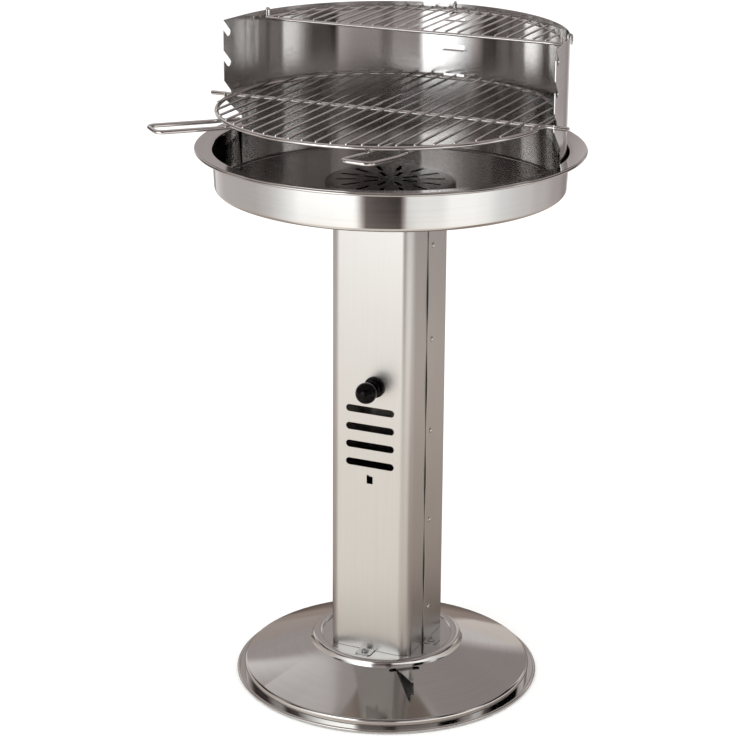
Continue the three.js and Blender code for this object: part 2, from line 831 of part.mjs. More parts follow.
// Half the distance between the flat end strips at their free edge, on one face of the sheet.
// The strips run on straight from the half round, so they splay a little.
function stripHalf(radius) {
  const straight = radius * Math.sin(shieldSplay) + shieldStripFront;
  return radius * Math.cos(shieldSplay) + straight * Math.tan(shieldSplay);
}

function shieldPlan() {
  const inner = shieldRadius - sheet;
  const outerHalf = stripHalf(shieldRadius);
  const innerHalf = stripHalf(inner);
  const shape = new THREE.Shape();
  shape.moveTo(outerHalf, -shieldStripFront);
  shape.lineTo(shieldRadius * Math.cos(shieldSplay), shieldRadius * Math.sin(shieldSplay));
  shape.absarc(0, 0, shieldRadius, shieldSplay, Math.PI - shieldSplay, false);
  shape.lineTo(-outerHalf, -shieldStripFront);
  shape.lineTo(-innerHalf, -shieldStripFront);
  shape.absarc(0, 0, inner, Math.PI - shieldSplay, shieldSplay, true);
  shape.lineTo(innerHalf, -shieldStripFront);
  return shape;
}

// A slanted slot that opens at the free edge and ends in a round seat for the crossbar.
function notchShape(level) {
  const seatZ = seatHeight + notchWidth / 2 + level * notchPitch;
  const seatY = -crossbarAhead;
  const radius = notchWidth / 2;
  const reach = 2 * shieldStripFront;
  const alongY = -Math.cos(notchSlant);
  const alongZ = Math.sin(notchSlant);
  const quarter = Math.PI / 2;
  const round = arc(seatY, seatZ, radius, -quarter - notchSlant, quarter - notchSlant, 2 * filletSteps);
  const first = round[0];
  const last = round[round.length - 1];
  return outline([
    [first[0] + alongY * reach, first[1] + alongZ * reach],
    ...round,
    [last[0] + alongY * reach, last[1] + alongZ * reach],
  ]);
}

// Cuts both end strips alike: the shape is drawn in Y and Z and runs across the shield in X.
function acrossShield(shape) {
  const span = 2 * (stripHalf(shieldRadius) + cutOverrun);
  const turnedShape = prism(shape, span).translate(0, 0, -span / 2);
  const toYZ = new THREE.Matrix4().makeBasis(
    new THREE.Vector3(0, 1, 0), new THREE.Vector3(0, 0, 1), new THREE.Vector3(1, 0, 0),
  );
  return solidOf(turnedShape.applyMatrix4(toYZ));
}

function shelfTools(level) {
  const top = seatHeight + crossbarWire - rimWire + level * notchPitch;
  const wall = shieldRadius - sheet / 2;
  return {
    opening: placed(block(shelfWidth, shelfReach, shelfSlotHeight), {
      x: shelfOffset,
      y: wall,
      z: top + shelfSlotHeight / 2,
    }),
    shelf: placed(block(shelfWidth - 2 * seatGap, shelfReach, sheet), {
      x: shelfOffset,
      y: wall - shelfReach / 2,
      z: top - sheet / 2,
    }),
  };
}

function shieldSolid() {
  const wall = placed(prism(shieldPlan(), shieldTop - shieldFoot, turnedSides / 2), { z: shieldFoot });
  const notches = Array.from({ length: notchCount }, (_, level) => acrossShield(notchShape(level)));
  const trimTop = grateHeight - shieldTrimBelowGrate;
  const trim = acrossShield(outline([
    [-shieldStripFront - cutOverrun, trimTop],
    [-shieldStripFront - cutOverrun, shieldFoot - cutOverrun],
    [shieldTrimRear, shieldFoot - cutOverrun],
    [shieldTrimRear, trimTop - shieldTrimHeight],
    [-shieldStripFront, trimTop],
  ]));
  const shelves = Array.from({ length: notchCount }, (_, level) => shelfTools(level));
  const opened = cut(wall, [...notches, trim, ...shelves.map((tools) => tools.opening)]);
  return joined([opened, ...shelves.map((tools) => tools.shelf)]);
}

// Cooking grate

// Straight bars along Y across a round outline, one every pitch, from its near side or from firstY.
function barRow(radius, pitch, wireRadius, overhang, z, { centreX = 0, centreY = 0, firstY = null } = {}) {
  const count = Math.floor((radius - 2 * wireRadius) / pitch);
  const bars = [];
  for (let i = -count; i <= count; i++) {
    const x = i * pitch;
    const half = Math.sqrt(radius * radius - (x - centreX) ** 2) + overhang;
    const rear = centreY + half;
    const front = firstY === null ? centreY - half : firstY - overhang;
    if (rear - front > pitch) {
      const bar = new THREE.CylinderGeometry(wireRadius, wireRadius, rear - front, barSides);
      bars.push(placed(bar, { x, y: (rear + front) / 2, z }));
    }
  }
  return bars;
}

function grateSolid() {
  const rim = new THREE.TorusGeometry(rimRadius, rimWire, wireSides, turnedSides);
  const crossbar = new THREE.CylinderGeometry(
    crossbarWire, crossbarWire, 2 * crossbarHalfLength, wireSides,
  ).rotateZ(Math.PI / 2);
  const barHeight = grateHeight + rimWire + grateBarWire - weldSink;
  const bars = barRow(rimRadius, grateBarPitch, grateBarWire, grateBarOverhang, barHeight, {
    centreX: grateOffset,
    centreY: -grateAhead,
  });
  return joined([
    placed(rim, { x: grateOffset, y: -grateAhead, z: grateHeight }),
    placed(crossbar, { x: grateOffset, y: -crossbarAhead, z: grateHeight }),
    ...bars,
  ]);
}

// How far out the rim lies at a distance to the side of its middle.
function rimReachAt(side) {
  return Math.sqrt(rimRadius * rimRadius - side * side);
}

// A U of wire that starts under the rim, runs out along -Y from the rim's middle and rises to its grip.
function handleSolid(angle, offset, length, rise) {
  const under = grateHeight - rimWire - handleWire - seatGap;
  const nearSide = Math.max(Math.abs(offset) - handleWidth / 2, 0);
  const farSide = Math.abs(offset) + handleWidth / 2;
  const inner = handleInside - rimReachAt(farSide);
  const outside = -rimReachAt(nearSide) - rimWire - handleWire;
  const left = offset - handleWidth / 2;
  const right = offset + handleWidth / 2;
  const reach = rimRadius + length;
  const corners = [
    new THREE.Vector3(left, inner, under),
    new THREE.Vector3(left, outside, under),
    new THREE.Vector3(left, -reach, under + rise),
    new THREE.Vector3(right, -reach, under + rise),
    new THREE.Vector3(right, outside, under),
    new THREE.Vector3(right, inner, under),
  ];
  const bent = wire(bentStations(corners, handleBend), handleWire);
  return placed(bent, { turn: angle, x: grateOffset, y: -grateAhead });
}

function addCookingGrate(parent) {
  addPiece(parent, 'cooking_grate', grateSolid(), brightWire);
  const front = handleSolid(frontHandleAngle, frontHandleOffset, frontHandleLength, frontHandleRise);
  addPiece(parent, 'grate_handle_front', front, brightWire);
  const left = handleSolid(leftHandleAngle, leftHandleOffset, leftHandleLength, leftHandleRise);
  addPiece(parent, 'grate_handle_left', left, brightWire);
}

// Warming rack

function rackSolid() {
  const start = Math.asin(rackChordBehind / rackRadius);
  const steps = turnedSides / 2;
  const stations = arc(0, 0, rackRadius, start, Math.PI - start, steps).map(
    ([x, y]) => new THREE.Vector3(x, y, rackHeight),
  );
  const half = rackRadius * Math.cos(start);
  const chord = new THREE.CylinderGeometry(rackWire, rackWire, 2 * half, wireSides).rotateZ(Math.PI / 2);
  const corners = [-half, half].map((x) => placed(
    new THREE.SphereGeometry(rackWire, wireSides, wireSides), { x, y: rackChordBehind, z: rackHeight },
  ));
  const bow = solidOf(wire(stations, rackWire));
  const barHeight = rackHeight + rackWire + rackBarWire - weldSink;
  const bars = barRow(rackRadius, rackBarPitch, rackBarWire, rackBarOverhang, barHeight, {
    firstY: rackChordBehind,
  });
  return joined([bow, placed(chord, { y: rackChordBehind, z: rackHeight }), ...corners, ...bars]);
}

// A hook drawn along +X: out under the frame, up the inside of the shield and over its edge.
function hookGeometry() {
  const under = rackHeight - rackWire - hookWire - seatGap;
  const inner = shieldRadius - sheet - seatGap - hookWire;
  const outer = shieldRadius + seatGap + hookWire;
  const crownRadius = (outer - inner) / 2;
  const crownCentre = shieldTop + seatGap + hookWire - crownRadius;
  const lower = bentStations([
    new THREE.Vector3(rackRadius - hookInside, 0, under),
    new THREE.Vector3(inner, 0, under),
    new THREE.Vector3(inner, 0, crownCentre),
  ], hookBend);
  const crown = arc(inner + crownRadius, crownCentre, crownRadius, Math.PI, 0, 2 * filletSteps).map(
    ([x, z]) => new THREE.Vector3(x, 0, z),
  );
  const tip = new THREE.Vector3(outer, 0, shieldTop - hookDrop);
  return wire([...lower.slice(0, -1), ...crown, tip], hookWire);
}

function addWarmingRack(parent) {
  addPiece(parent, 'warming_rack', rackSolid(), brightWire);
  const rearAngle = Math.acos(shelfOffset / shieldRadius);
  const hooks = { right: sideHookAngle, rear: rearAngle, left: Math.PI - sideHookAngle };
  Object.entries(hooks).forEach(([side, turn]) => {
    addPiece(parent, `rack_hook_${side}`, placed(hookGeometry(), { turn }), brightWire);
  });
}

// Assembly

// How far in front of the axis the bent outer corner of the front handle comes.
function frontHandleReach() {
  const turn = Math.abs(frontHandleAngle);
  const out = (rimRadius + frontHandleLength - handleBend) * Math.cos(turn);
  const across = (frontHandleOffset + handleWidth / 2 - handleBend) * Math.sin(turn);
  return grateAhead + out + across + handleBend + handleWire;
}

// The origin is the middle of the whole grill's footprint on the ground.
const frontReach = frontHandleReach();
const leftReach = crossbarHalfLength - grateOffset;
const grill = new THREE.Group();
grill.position.set((leftReach - bowlRadius) / 2, (frontReach - bowlRadius) / 2, 0);

addBase(grill);
addColumn(grill);
addDamper(grill);
addPiece(grill, 'fire_bowl', bowlSolid(), brushedSteel);
addPiece(grill, 'charcoal_grate', coalGrateSolid(), brushedSteel);
addPiece(grill, 'wind_shield', shieldSolid(), polishedSteel);
addCookingGrate(grill);
addWarmingRack(grill);

export default grill;
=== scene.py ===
import math

import bpy
from bpy.props import BoolProperty, FloatProperty, FloatVectorProperty, IntProperty, PointerProperty
from mathutils import Matrix, Vector


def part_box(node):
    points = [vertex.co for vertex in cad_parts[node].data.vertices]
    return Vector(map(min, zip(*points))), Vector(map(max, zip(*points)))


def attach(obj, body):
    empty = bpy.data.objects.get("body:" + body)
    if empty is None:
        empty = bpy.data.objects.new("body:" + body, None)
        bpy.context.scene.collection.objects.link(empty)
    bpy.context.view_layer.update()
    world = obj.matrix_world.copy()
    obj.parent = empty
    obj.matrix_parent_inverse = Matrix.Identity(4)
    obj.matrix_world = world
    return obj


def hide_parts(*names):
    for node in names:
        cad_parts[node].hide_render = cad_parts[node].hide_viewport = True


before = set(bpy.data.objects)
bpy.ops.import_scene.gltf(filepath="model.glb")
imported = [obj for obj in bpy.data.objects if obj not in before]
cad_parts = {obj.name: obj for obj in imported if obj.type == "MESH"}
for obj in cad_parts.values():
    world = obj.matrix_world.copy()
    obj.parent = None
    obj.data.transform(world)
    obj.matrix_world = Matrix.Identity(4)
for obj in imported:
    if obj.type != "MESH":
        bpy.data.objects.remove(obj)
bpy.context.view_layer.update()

bl_info = {
    "name": "Pillar Barbecue Looks",
    "version": (1, 0, 0),
    "blender": (4, 5, 0),
    "location": "3D View > Sidebar > Barbecue",
    "description": "Formed sheet, wire, knob and finishes of a charcoal pillar barbecue, and its studio",
    "category": "Add Mesh",
}


def size_of(node):
    """Width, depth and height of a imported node, in metres."""
    low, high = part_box(node)
    return high - low


def middle_of(node):
    """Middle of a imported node's box."""
    low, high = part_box(node)
    return (low + high) / 2


def linear(colour):
    """An sRGB hex colour as linear RGBA."""
    parts = [int(colour[i:i + 2], 16) / 255 for i in (1, 3, 5)]
    parts = [p / 12.92 if p <= 0.04045 else ((p + 0.055) / 1.055) ** 2.4 for p in parts]
    return (*parts, 1)


# Sheet and fits, in metres
SHEET = 0.0008
BASE_SHEET = 0.001
FIT = 0.0003
OVERRUN = 0.002

# Places and sizes read from the frame
AXIS = middle_of("base_plate").xy
BASE_RADIUS = size_of("base_plate").x / 2
BOWL_RADIUS = size_of("fire_bowl").x / 2
COLUMN_HALF = size_of("column_front_shell").x / 2
COLUMN_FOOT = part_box("column_front_shell")[0].z
COLUMN_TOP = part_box("column_front_shell")[1].z
COLUMN_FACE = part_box("damper_knob")[1].y + FIT
COLUMN_HALF_DEPTH = AXIS.y - COLUMN_FACE
BOWL_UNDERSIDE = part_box("fire_bowl")[0].z
BOWL_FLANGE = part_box("fire_bowl")[1].z
SHIELD_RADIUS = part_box("wind_shield")[1].y - AXIS.y
SHIELD_FOOT, SHIELD_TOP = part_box("wind_shield")[0].z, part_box("wind_shield")[1].z
KNOB = middle_of("damper_knob")
GRATE = middle_of("cooking_grate").xy
HOOK_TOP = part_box("rack_hook_rear")[1].z

# Fineness of round forms, and the share of its radius over which a wire's end is rounded
TURNED_SIDES = 256
SMALL_SIDES = 48
WIRE_SIDES = 14
BEND_STEPS = 10
SMALL_BEND_STEPS = 6
ROD_STEPS = 12
BAR_STEPS = 6
SEAM_ROWS = 60
SHIELD_STEPS = 60
SHELF_STEPS = 6
TIP_STEPS = 4
TIP_SHARE = 0.6
ON_AXIS = 1e-6
SHARP_ANGLE = math.radians(32)

# Base plate, with the slot at the tongue's root as (length, width)
PLATEAU = COLUMN_FOOT - FIT
RIM_WIDTH = 0.0044
RIM_HEIGHT = 0.0042
WALL_RADIUS = BASE_RADIUS - 0.009
WALL_FOOT = 0.0034
SHOULDER_HEIGHT = 0.0145
SHOULDER_RADIUS = 0.005
CONE_TOP_RADIUS = 0.095
CONE_TOP_HEIGHT = 0.042
BEAD_INNER = 0.080
BEAD_OUTER = 0.0925
BEAD_RISE = 0.0036
TONGUE_ANGLE = math.radians(37)
TONGUE_ROOT = 0.023
TONGUE_TIP = 0.004
TONGUE_LENGTH = 0.047
TONGUE_LIFT = 0.003
TONGUE_SLOT = (0.038, 0.005)

# Column, with the stud's slot as (width, height)
CORNER_RADIUS = 0.014
FRONT_REACH = 0.013
REAR_REACH = 0.0088
SEAM_BULGE = 0.0009
SEAM_FADE = 0.002
LUG_WIDTH = 0.020
LUG_REACH = 0.017
LUG_CORNER = LUG_WIDTH / 5
VENT_LENGTH = 0.063
VENT_OFFSET = 0.0013
VENT_HEIGHT = 0.009
GUIDE_WIDTH = 0.008
GUIDE_HEIGHT = 0.011
GUIDE_REACH = 0.005
GUIDE_LIP = 0.004
LOWEST_VENT = 0.2914
VENT_PITCH = 0.0227
VENTS = 4
GUIDE_TOP = 0.2769
STUD_SLOT = (0.0046, 0.0146)

# Rivets, in each seam: head as a share of the length, shank and tail of the radius, flat of the head
RIVETS = 5
RIVET_HEAD = 0.25
RIVET_SHANK = 0.5
RIVET_TAIL = 0.7
RIVET_FLAT = 0.02
RIVET_DOME = 0.44 * math.pi

# Screws and nuts, one at each side of the column: the rim is a share of the head's height and the recess
# reaches a share of its radius, the crown is an arc from one angle to another, the point is (radius, chamfer)
SCREW_SIDES = ("front", "right", "rear", "left")
SCREW_HEAD = 0.0026
SCREW_RIM = 0.35
SCREW_CROWN = (0.15, 0.47 * math.pi)
SCREW_SHANK = 0.002
SCREW_POINT = (0.0017, 0.0006)
RECESS_REACH = 0.55
RECESS_WIDTH = 0.0009
RECESS_DEPTH = 0.0011
NUT_EDGE = 0.0002
NUT_EDGE_STEPS = 2

# Knob profile, with the fillet's radii along and across its face
KNOB_DISC_HEIGHT = 0.0035
KNOB_NECK = 0.0065
KNOB_FILLET = (0.0022, 0.0026)
KNOB_FILLET_HEIGHT = 0.0062
KNOB_BALL = 0.0128
KNOB_BALL_HEIGHT = 0.0245

# Fire bowl
FLANGE_WIDTH = 0.021
WALL_DRAFT = 0.0018
BOWL_BEAD = 0.0019
FLANGE_DROP = 0.0016
BOWL_SHOULDER = 0.003
BOWL_CORNER = 0.005
BOWL_MOUTH = 0.046

# Charcoal grate, its rings of slots as (count, radius share, length share)
COAL_SHEET = 0.0015
COAL_SLOT_WIDTH = 0.005
COAL_SLOT_RINGS = ((8, 0.32, 0.26), (14, 0.68, 0.32))

# Wind shield
SPLAY = math.radians(7)
STRIP_FRONT = 0.020
NOTCHES = 3
NOTCH_PITCH = 0.0364
NOTCH_WIDTH = 0.009
NOTCH_SLANT = math.radians(45)
TRIM_BELOW_GRATE = 0.003
TRIM_HEIGHT = 0.028
TRIM_REAR = 0.016
SHELF_WIDTH = 0.027
SHELF_REACH = 0.010
SHELF_SLOT = 0.006
SHELF_OFFSET = -0.006

# Cooking grate and handles
RIM_WIRE = 0.0025
CROSSBAR_AHEAD = 0.010
BAR_WIRE = 0.0015
BAR_PITCH = 0.0173
BAR_OVERHANG = 0.0016
WELD_SINK = 0.0005
HANDLE_BEND = 0.009
HANDLE_INSIDE = 0.026
HANDLE_WIDTH = 0.036

# The handles as (node, turn, offset from the grate's middle, length past the rim, rise of the grip)
HANDLES = (
    ("grate_handle_front", math.radians(-6.5), 0.1025, 0.0418, 0.0045),
    ("grate_handle_left", math.radians(-43.3), -0.014, 0.083, 0.001),
)

# Warming rack and hooks
RACK_CHORD = 0.050
RACK_WIRE = 0.002
RACK_BAR = 0.0013
RACK_PITCH = 0.0155
RACK_OVERHANG = 0.0014
HOOK_WIRE = 0.0015
HOOK_INSIDE = 0.008
HOOK_DROP = 0.010
HOOK_BEND = 0.003
HOOK_TURN = math.radians(19)

# Finishes: lines, grains, heights and depths in metres, turns in radians, brush lines in pitches, the rest
# shares. The real lines and grains are finer than a pixel, so each is drawn as coarse as it needs to show.
BRUSH_PITCH = 0.0016
BRUSH_LENGTH = 80
WIRE_GRAIN, WIRE_LINE = 0.004, 0.002
ZINC_GRAIN = 0.0012
RIVET_GRAIN = 0.001
BLACK_STEEL_GRAIN = 0.003
MARK_SPACING = 0.0714
MARK_SHARE = 0.35
NOISE_LOW, NOISE_HIGH = 0.3, 0.7
RELIEF_SHARE = 0.1
LATHE_TURN = 1.5
LATHE_SMEAR = 0.8
ROLL_PITCH = 0.004
ROLL_TURN = 0.8
ROLL_SMEAR = 1.0
SPRING_LEAN = 0.08
SPRING_HEIGHT = 0.06
PEEL_SPACING = 0.00238
PEEL_DEPTH = 0.0002


class GRILL_PG_sizes(bpy.types.PropertyGroup):
    """Sizes that set how fine and how worn the formed pieces look."""

    turned_sides: IntProperty(
        name="Sides of turned sheet", description="Steps round the bowl and the base",
        default=TURNED_SIDES, min=48,
    )
    seam_bulge: FloatProperty(
        name="Seam bulge", description="How far the lapped edge stands off between two rivets",
        default=SEAM_BULGE, unit="LENGTH", precision=4,
    )
    brush_pitch: FloatProperty(
        name="Brush line pitch", description="Spacing of the brush lines, drawn coarse enough to show",
        default=BRUSH_PITCH, unit="LENGTH", precision=4,
    )


class GRILL_PG_studio(bpy.types.PropertyGroup):
    """The camera and the light of the picture."""

    camera_distance: FloatProperty(
        name="Camera distance", description="Level distance from the column's axis to the lens",
        default=2.6837, unit="LENGTH",
    )
    camera_height: FloatProperty(
        name="Camera height", description="Height of the lens above the ground", default=1.3057, unit="LENGTH",
    )
    camera_bearing: FloatProperty(
        name="Camera bearing", description="Turn of the camera to the right of the grill's front",
        default=math.radians(23.963), unit="ROTATION",
    )
    camera_pan: FloatProperty(
        name="Camera pan", description="Turn of the lens away from the column's axis",
        default=math.radians(0.538), unit="ROTATION",
    )
    camera_tilt: FloatProperty(
        name="Camera tilt", description="Tilt of the lens below the horizon",
        default=math.radians(18.734), unit="ROTATION",
    )
    camera_roll: FloatProperty(
        name="Camera roll", description="Turn about the lens's own line",
        default=math.radians(0.327), unit="ROTATION",
    )
    focal_length: FloatProperty(
        name="Focal length", description="Focal length on a 36 mm sensor, in millimetres", default=114.70, min=1,
    )
    floor_colour: FloatVectorProperty(
        name="Floor colour", description="Matt white paper", default=linear("#f7f7f6")[:3], subtype="COLOR",
        min=0, max=1,
    )
    show_cards: BoolProperty(
        name="Use cards", description="Stand the reflecting cards round the grill", default=True,
    )


# Small tools for meshes


def place(x, y, z):
    """A point in the column's own axes as a point of the frame."""
    return Vector((AXIS.x + x, AXIS.y + y, z))


def smoothed(mesh):
    """The same mesh, smooth-shaded except where its faces meet at a sharp angle."""
    mesh.shade_smooth()
    mesh.set_sharp_from_angle(angle=SHARP_ANGLE)
    return mesh


def new_mesh(name, vertices, faces):
    """A checked and smooth-shaded mesh."""
    mesh = bpy.data.meshes.new(name)
    mesh.from_pydata([tuple(v) for v in vertices], [], faces)
    mesh.validate()
    return smoothed(mesh)


def new_piece(name, vertices, faces):
    """A mesh object in the scene."""
    piece = bpy.data.objects.new(name, new_mesh(name, vertices, faces))
    bpy.context.scene.collection.objects.link(piece)
    return piece


def arc(centre_x, centre_y, radius_x, radius_y, start, end, steps=BEND_STEPS):
    """Points of a round or oval arc, both ends included."""
    angles = [start + (end - start) * i / steps for i in range(steps + 1)]
    return [(centre_x + radius_x * math.cos(a), centre_y + radius_y * math.sin(a)) for a in angles]


def rounded(corners, radius):
    """An open path through the corners, each inner one bent to the radius."""
    points = [corners[0].copy()]
    for previous, corner, following in zip(corners, corners[1:], corners[2:]):
        before = (previous - corner).normalized()
        after = (following - corner).normalized()
        half = before.angle(after) / 2
        reach = radius / math.tan(half)
        centre = corner + (before + after).normalized() * radius / math.sin(half)
        start, end = corner + before * reach - centre, corner + after * reach - centre
        sweep = start.angle(end)
        for k in range(BEND_STEPS + 1):
            share = k / BEND_STEPS
            turn = start * math.sin((1 - share) * sweep) + end * math.sin(share * sweep)
            points.append(centre + turn / math.sin(sweep))
    points.append(corners[-1].copy())
    return points


def sheet_section(path, thickness):
    """Closes an open (radius, height) path into sheet of even thickness on its right-hand side."""
    points = [Vector(p) for p in path]
    normals = []
    for a, b in zip(points, points[1:]):
        along = (b - a).normalized()
        normals.append(Vector((along.y, -along.x)))
    back = []
    for i, point in enumerate(points):
        before, after = normals[max(i - 1, 0)], normals[min(i, len(normals) - 1)]
        mean = (before + after).normalized()
        back.append(point + mean * thickness / mean.dot(after))
    return [(max(p.x, 0), p.y) for p in points + back[::-1]]


def turned_mesh(section, sides, centre=(0, 0)):
    """Vertices and faces of a body of revolution about Z, from a closed loop of (radius, height)."""
    vertices, rings, faces = [], [], []
    for radius, height in section:
        start = len(vertices)
        if radius < ON_AXIS:
            vertices.append(Vector((centre[0], centre[1], height)))
            rings.append([start] * sides)
            continue
        for k in range(sides):
            angle = 2 * math.pi * k / sides
            x, y = radius * math.cos(angle), radius * math.sin(angle)
            vertices.append(Vector((centre[0] + x, centre[1] + y, height)))
        rings.append(list(range(start, start + sides)))
    for lower, upper in zip(rings, rings[1:] + rings[:1]):
        for k in range(sides):
            n = (k + 1) % sides
            face = list(dict.fromkeys((lower[k], lower[n], upper[n], upper[k])))
            if len(face) > 2:
                faces.append(face)
    return vertices, faces


def prism_mesh(outline, low, high):
    """Vertices and faces of an upright prism over a closed outline in X and Y."""
    count = len(outline)
    vertices = [Vector((x, y, z)) for z in (low, high) for x, y in outline]
    faces = [(i, (i + 1) % count, count + (i + 1) % count, count + i) for i in range(count)]
    faces.append(tuple(range(count))[::-1])
    faces.append(tuple(range(count, 2 * count)))
    return vertices, faces


def moved(made, matrix):
    """The same vertices and faces, moved by a matrix."""
    vertices, faces = made
    return [matrix @ v for v in vertices], faces


def gathered(parts):
    """Several sets of vertices and faces as one."""
    vertices, faces = [], []
    for some_vertices, some_faces in parts:
        start = len(vertices)
        vertices += some_vertices
        faces += [tuple(start + i for i in face) for face in some_faces]
    return vertices, faces


def wire_mesh(path, radius, closed=False):
    """Vertices and faces of drawn wire along a path, with rounded ends where the path is open."""
    count = len(path)
    stations = []
    for i, point in enumerate(path):
        before = path[i - 1] if closed or i else path[0]
        after = path[(i + 1) % count] if closed or i < count - 1 else path[-1]
        stations.append((point, (after - before).normalized(), radius))
    if not closed:
        angles = [math.pi / 2 * k / TIP_STEPS for k in range(1, TIP_STEPS)]
        tips = [(math.cos(a), math.sin(a)) for a in angles]
        reach = radius * TIP_SHARE
        (first, into, _), (last, onward, _) = stations[0], stations[-1]
        start = [(first + into * reach * (1 - s), into, radius * c) for c, s in reversed(tips)]
        end = [(last - onward * reach * (1 - s), onward, radius * c) for c, s in tips]
        inner_first = (first + into * reach, into, radius)
        inner_last = (last - onward * reach, onward, radius)
        stations = start + [inner_first] + stations[1:-1] + [inner_last] + end
    side = stations[0][1].orthogonal().normalized()
    vertices, faces = [], []
    for point, along, size in stations:
        side = (side - along * side.dot(along)).normalized()
        across = along.cross(side)
        for k in range(WIRE_SIDES):
            angle = 2 * math.pi * k / WIRE_SIDES
            vertices.append(point + (side * math.cos(angle) + across * math.sin(angle)) * size)
    rings = len(stations)
    for i in range(rings if closed else rings - 1):
        n = (i + 1) % rings
        shift = 0
        if closed and n == 0:
            shift = min(range(WIRE_SIDES), key=lambda s: (vertices[s] - vertices[i * WIRE_SIDES]).length)
        for k in range(WIRE_SIDES):
            a, b = i * WIRE_SIDES + k, i * WIRE_SIDES + (k + 1) % WIRE_SIDES
            c, d = n * WIRE_SIDES + (k + 1 + shift) % WIRE_SIDES, n * WIRE_SIDES + (k + shift) % WIRE_SIDES
            faces.append((a, b, c, d))
    if not closed:
        faces.append(tuple(range(WIRE_SIDES))[::-1])
        faces.append(tuple(range((rings - 1) * WIRE_SIDES, rings * WIRE_SIDES)))
    return vertices, faces


def slot_outline(length, height, steps=BEND_STEPS):
    """A slot with round ends, along X about the origin."""
    straight = (length - height) / 2
    right = arc(straight, 0, height / 2, height / 2, -math.pi / 2, math.pi / 2, steps)
    left = arc(-straight, 0, height / 2, height / 2, math.pi / 2, 3 * math.pi / 2, steps)
    return right + left


def settle(piece):
    """Turns a piece's modifiers into its mesh."""
    bpy.context.view_layer.update()
    graph = bpy.context.evaluated_depsgraph_get()
    mesh = bpy.data.meshes.new_from_object(piece.evaluated_get(graph), depsgraph=graph)
    piece.modifiers.clear()
    piece.data = smoothed(mesh)


def carve(piece, tools):
    """Cuts tool meshes out of a piece."""
    cutters = []
    for i, tool in enumerate(tools):
        cutter = new_piece(f"{piece.name}_cutter_{i}", *tool)
        change = piece.modifiers.new("Cut", "BOOLEAN")
        change.operation = "DIFFERENCE"
        change.solver = "EXACT"
        change.object = cutter
        cutters.append(cutter)
    settle(piece)
    for cutter in cutters:
        bpy.data.objects.remove(cutter)


def fuse(piece, parts):
    """Adds closed shells to a piece's mesh."""
    own = [v.co.copy() for v in piece.data.vertices], [tuple(p.vertices) for p in piece.data.polygons]
    piece.data = new_mesh(piece.name, *gathered([own, *parts]))


def keep_flats(piece):
    """Lets the large flat faces of folded sheet stay flat in the shading."""
    change = piece.modifiers.new("Flats", "WEIGHTED_NORMAL")
    change.mode = "FACE_AREA"
    change.keep_sharp = True


def block_mesh(low, high):
    """A box between two corners."""
    outline = [(low[0], low[1]), (high[0], low[1]), (high[0], high[1]), (low[0], high[1])]
    return prism_mesh(outline, low[2], high[2])


def finished(piece, material, body, slot, *nodes):
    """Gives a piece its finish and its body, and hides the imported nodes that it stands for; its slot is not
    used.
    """
    piece.data.materials.clear()
    piece.data.materials.append(material)
    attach(piece, body)
    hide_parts(*nodes)


# Materials


def add_node(tree, kind, inputs=None, **settings):
    """Adds one node and gives back its outputs. Each input is a constant, or another node's output to link."""
    made = tree.nodes.new(kind)
    for name, value in settings.items():
        setattr(made, name, value)
    for name, value in (inputs or {}).items():
        if isinstance(value, bpy.types.NodeSocket):
            tree.links.new(value, made.inputs[name])
        else:
            made.inputs[name].default_value = value
    return made.outputs


def blank_material(name):
    """A new material and its empty node tree."""
    material = bpy.data.materials.new(name)
    material.use_nodes = True
    material.node_tree.nodes.clear()
    return material, material.node_tree


def meridian(tree):
    """The direction across lines that run round the column's axis."""
    spot = add_node(tree, "ShaderNodeTexCoord")["Object"]
    normal = add_node(tree, "ShaderNodeNewGeometry")["Normal"]
    arm = add_node(tree, "ShaderNodeVectorMath", {0: spot, 1: (*AXIS, 0)}, operation="SUBTRACT")[0]
    around = add_node(tree, "ShaderNodeVectorMath", {0: arm, 1: (0, 0, 1)}, operation="CROSS_PRODUCT")[0]
    return add_node(tree, "ShaderNodeVectorMath", {0: normal, 1: around}, operation="CROSS_PRODUCT")[0]


def leaning_normal(tree, across, lean):
    """The normal of the shield's sheet, which leans outwards above the bowl's flange."""
    spot = add_node(tree, "ShaderNodeTexCoord")["Object"]
    normal = add_node(tree, "ShaderNodeNewGeometry")["Normal"]
    height = add_node(tree, "ShaderNodeSeparateXYZ", {"Vector": spot})["Z"]
    spring = add_node(tree, "ShaderNodeMapRange", {
        "Value": height, "From Min": BOWL_FLANGE, "From Max": BOWL_FLANGE + SPRING_HEIGHT,
        "To Max": lean / SHIELD_RADIUS,
    })["Result"]
    terms = {0: across, 1: spring, 2: normal}
    leaning = add_node(tree, "ShaderNodeVectorMath", terms, operation="MULTIPLY_ADD")[0]
    return add_node(tree, "ShaderNodeVectorMath", {0: leaning}, operation="NORMALIZE")[0]


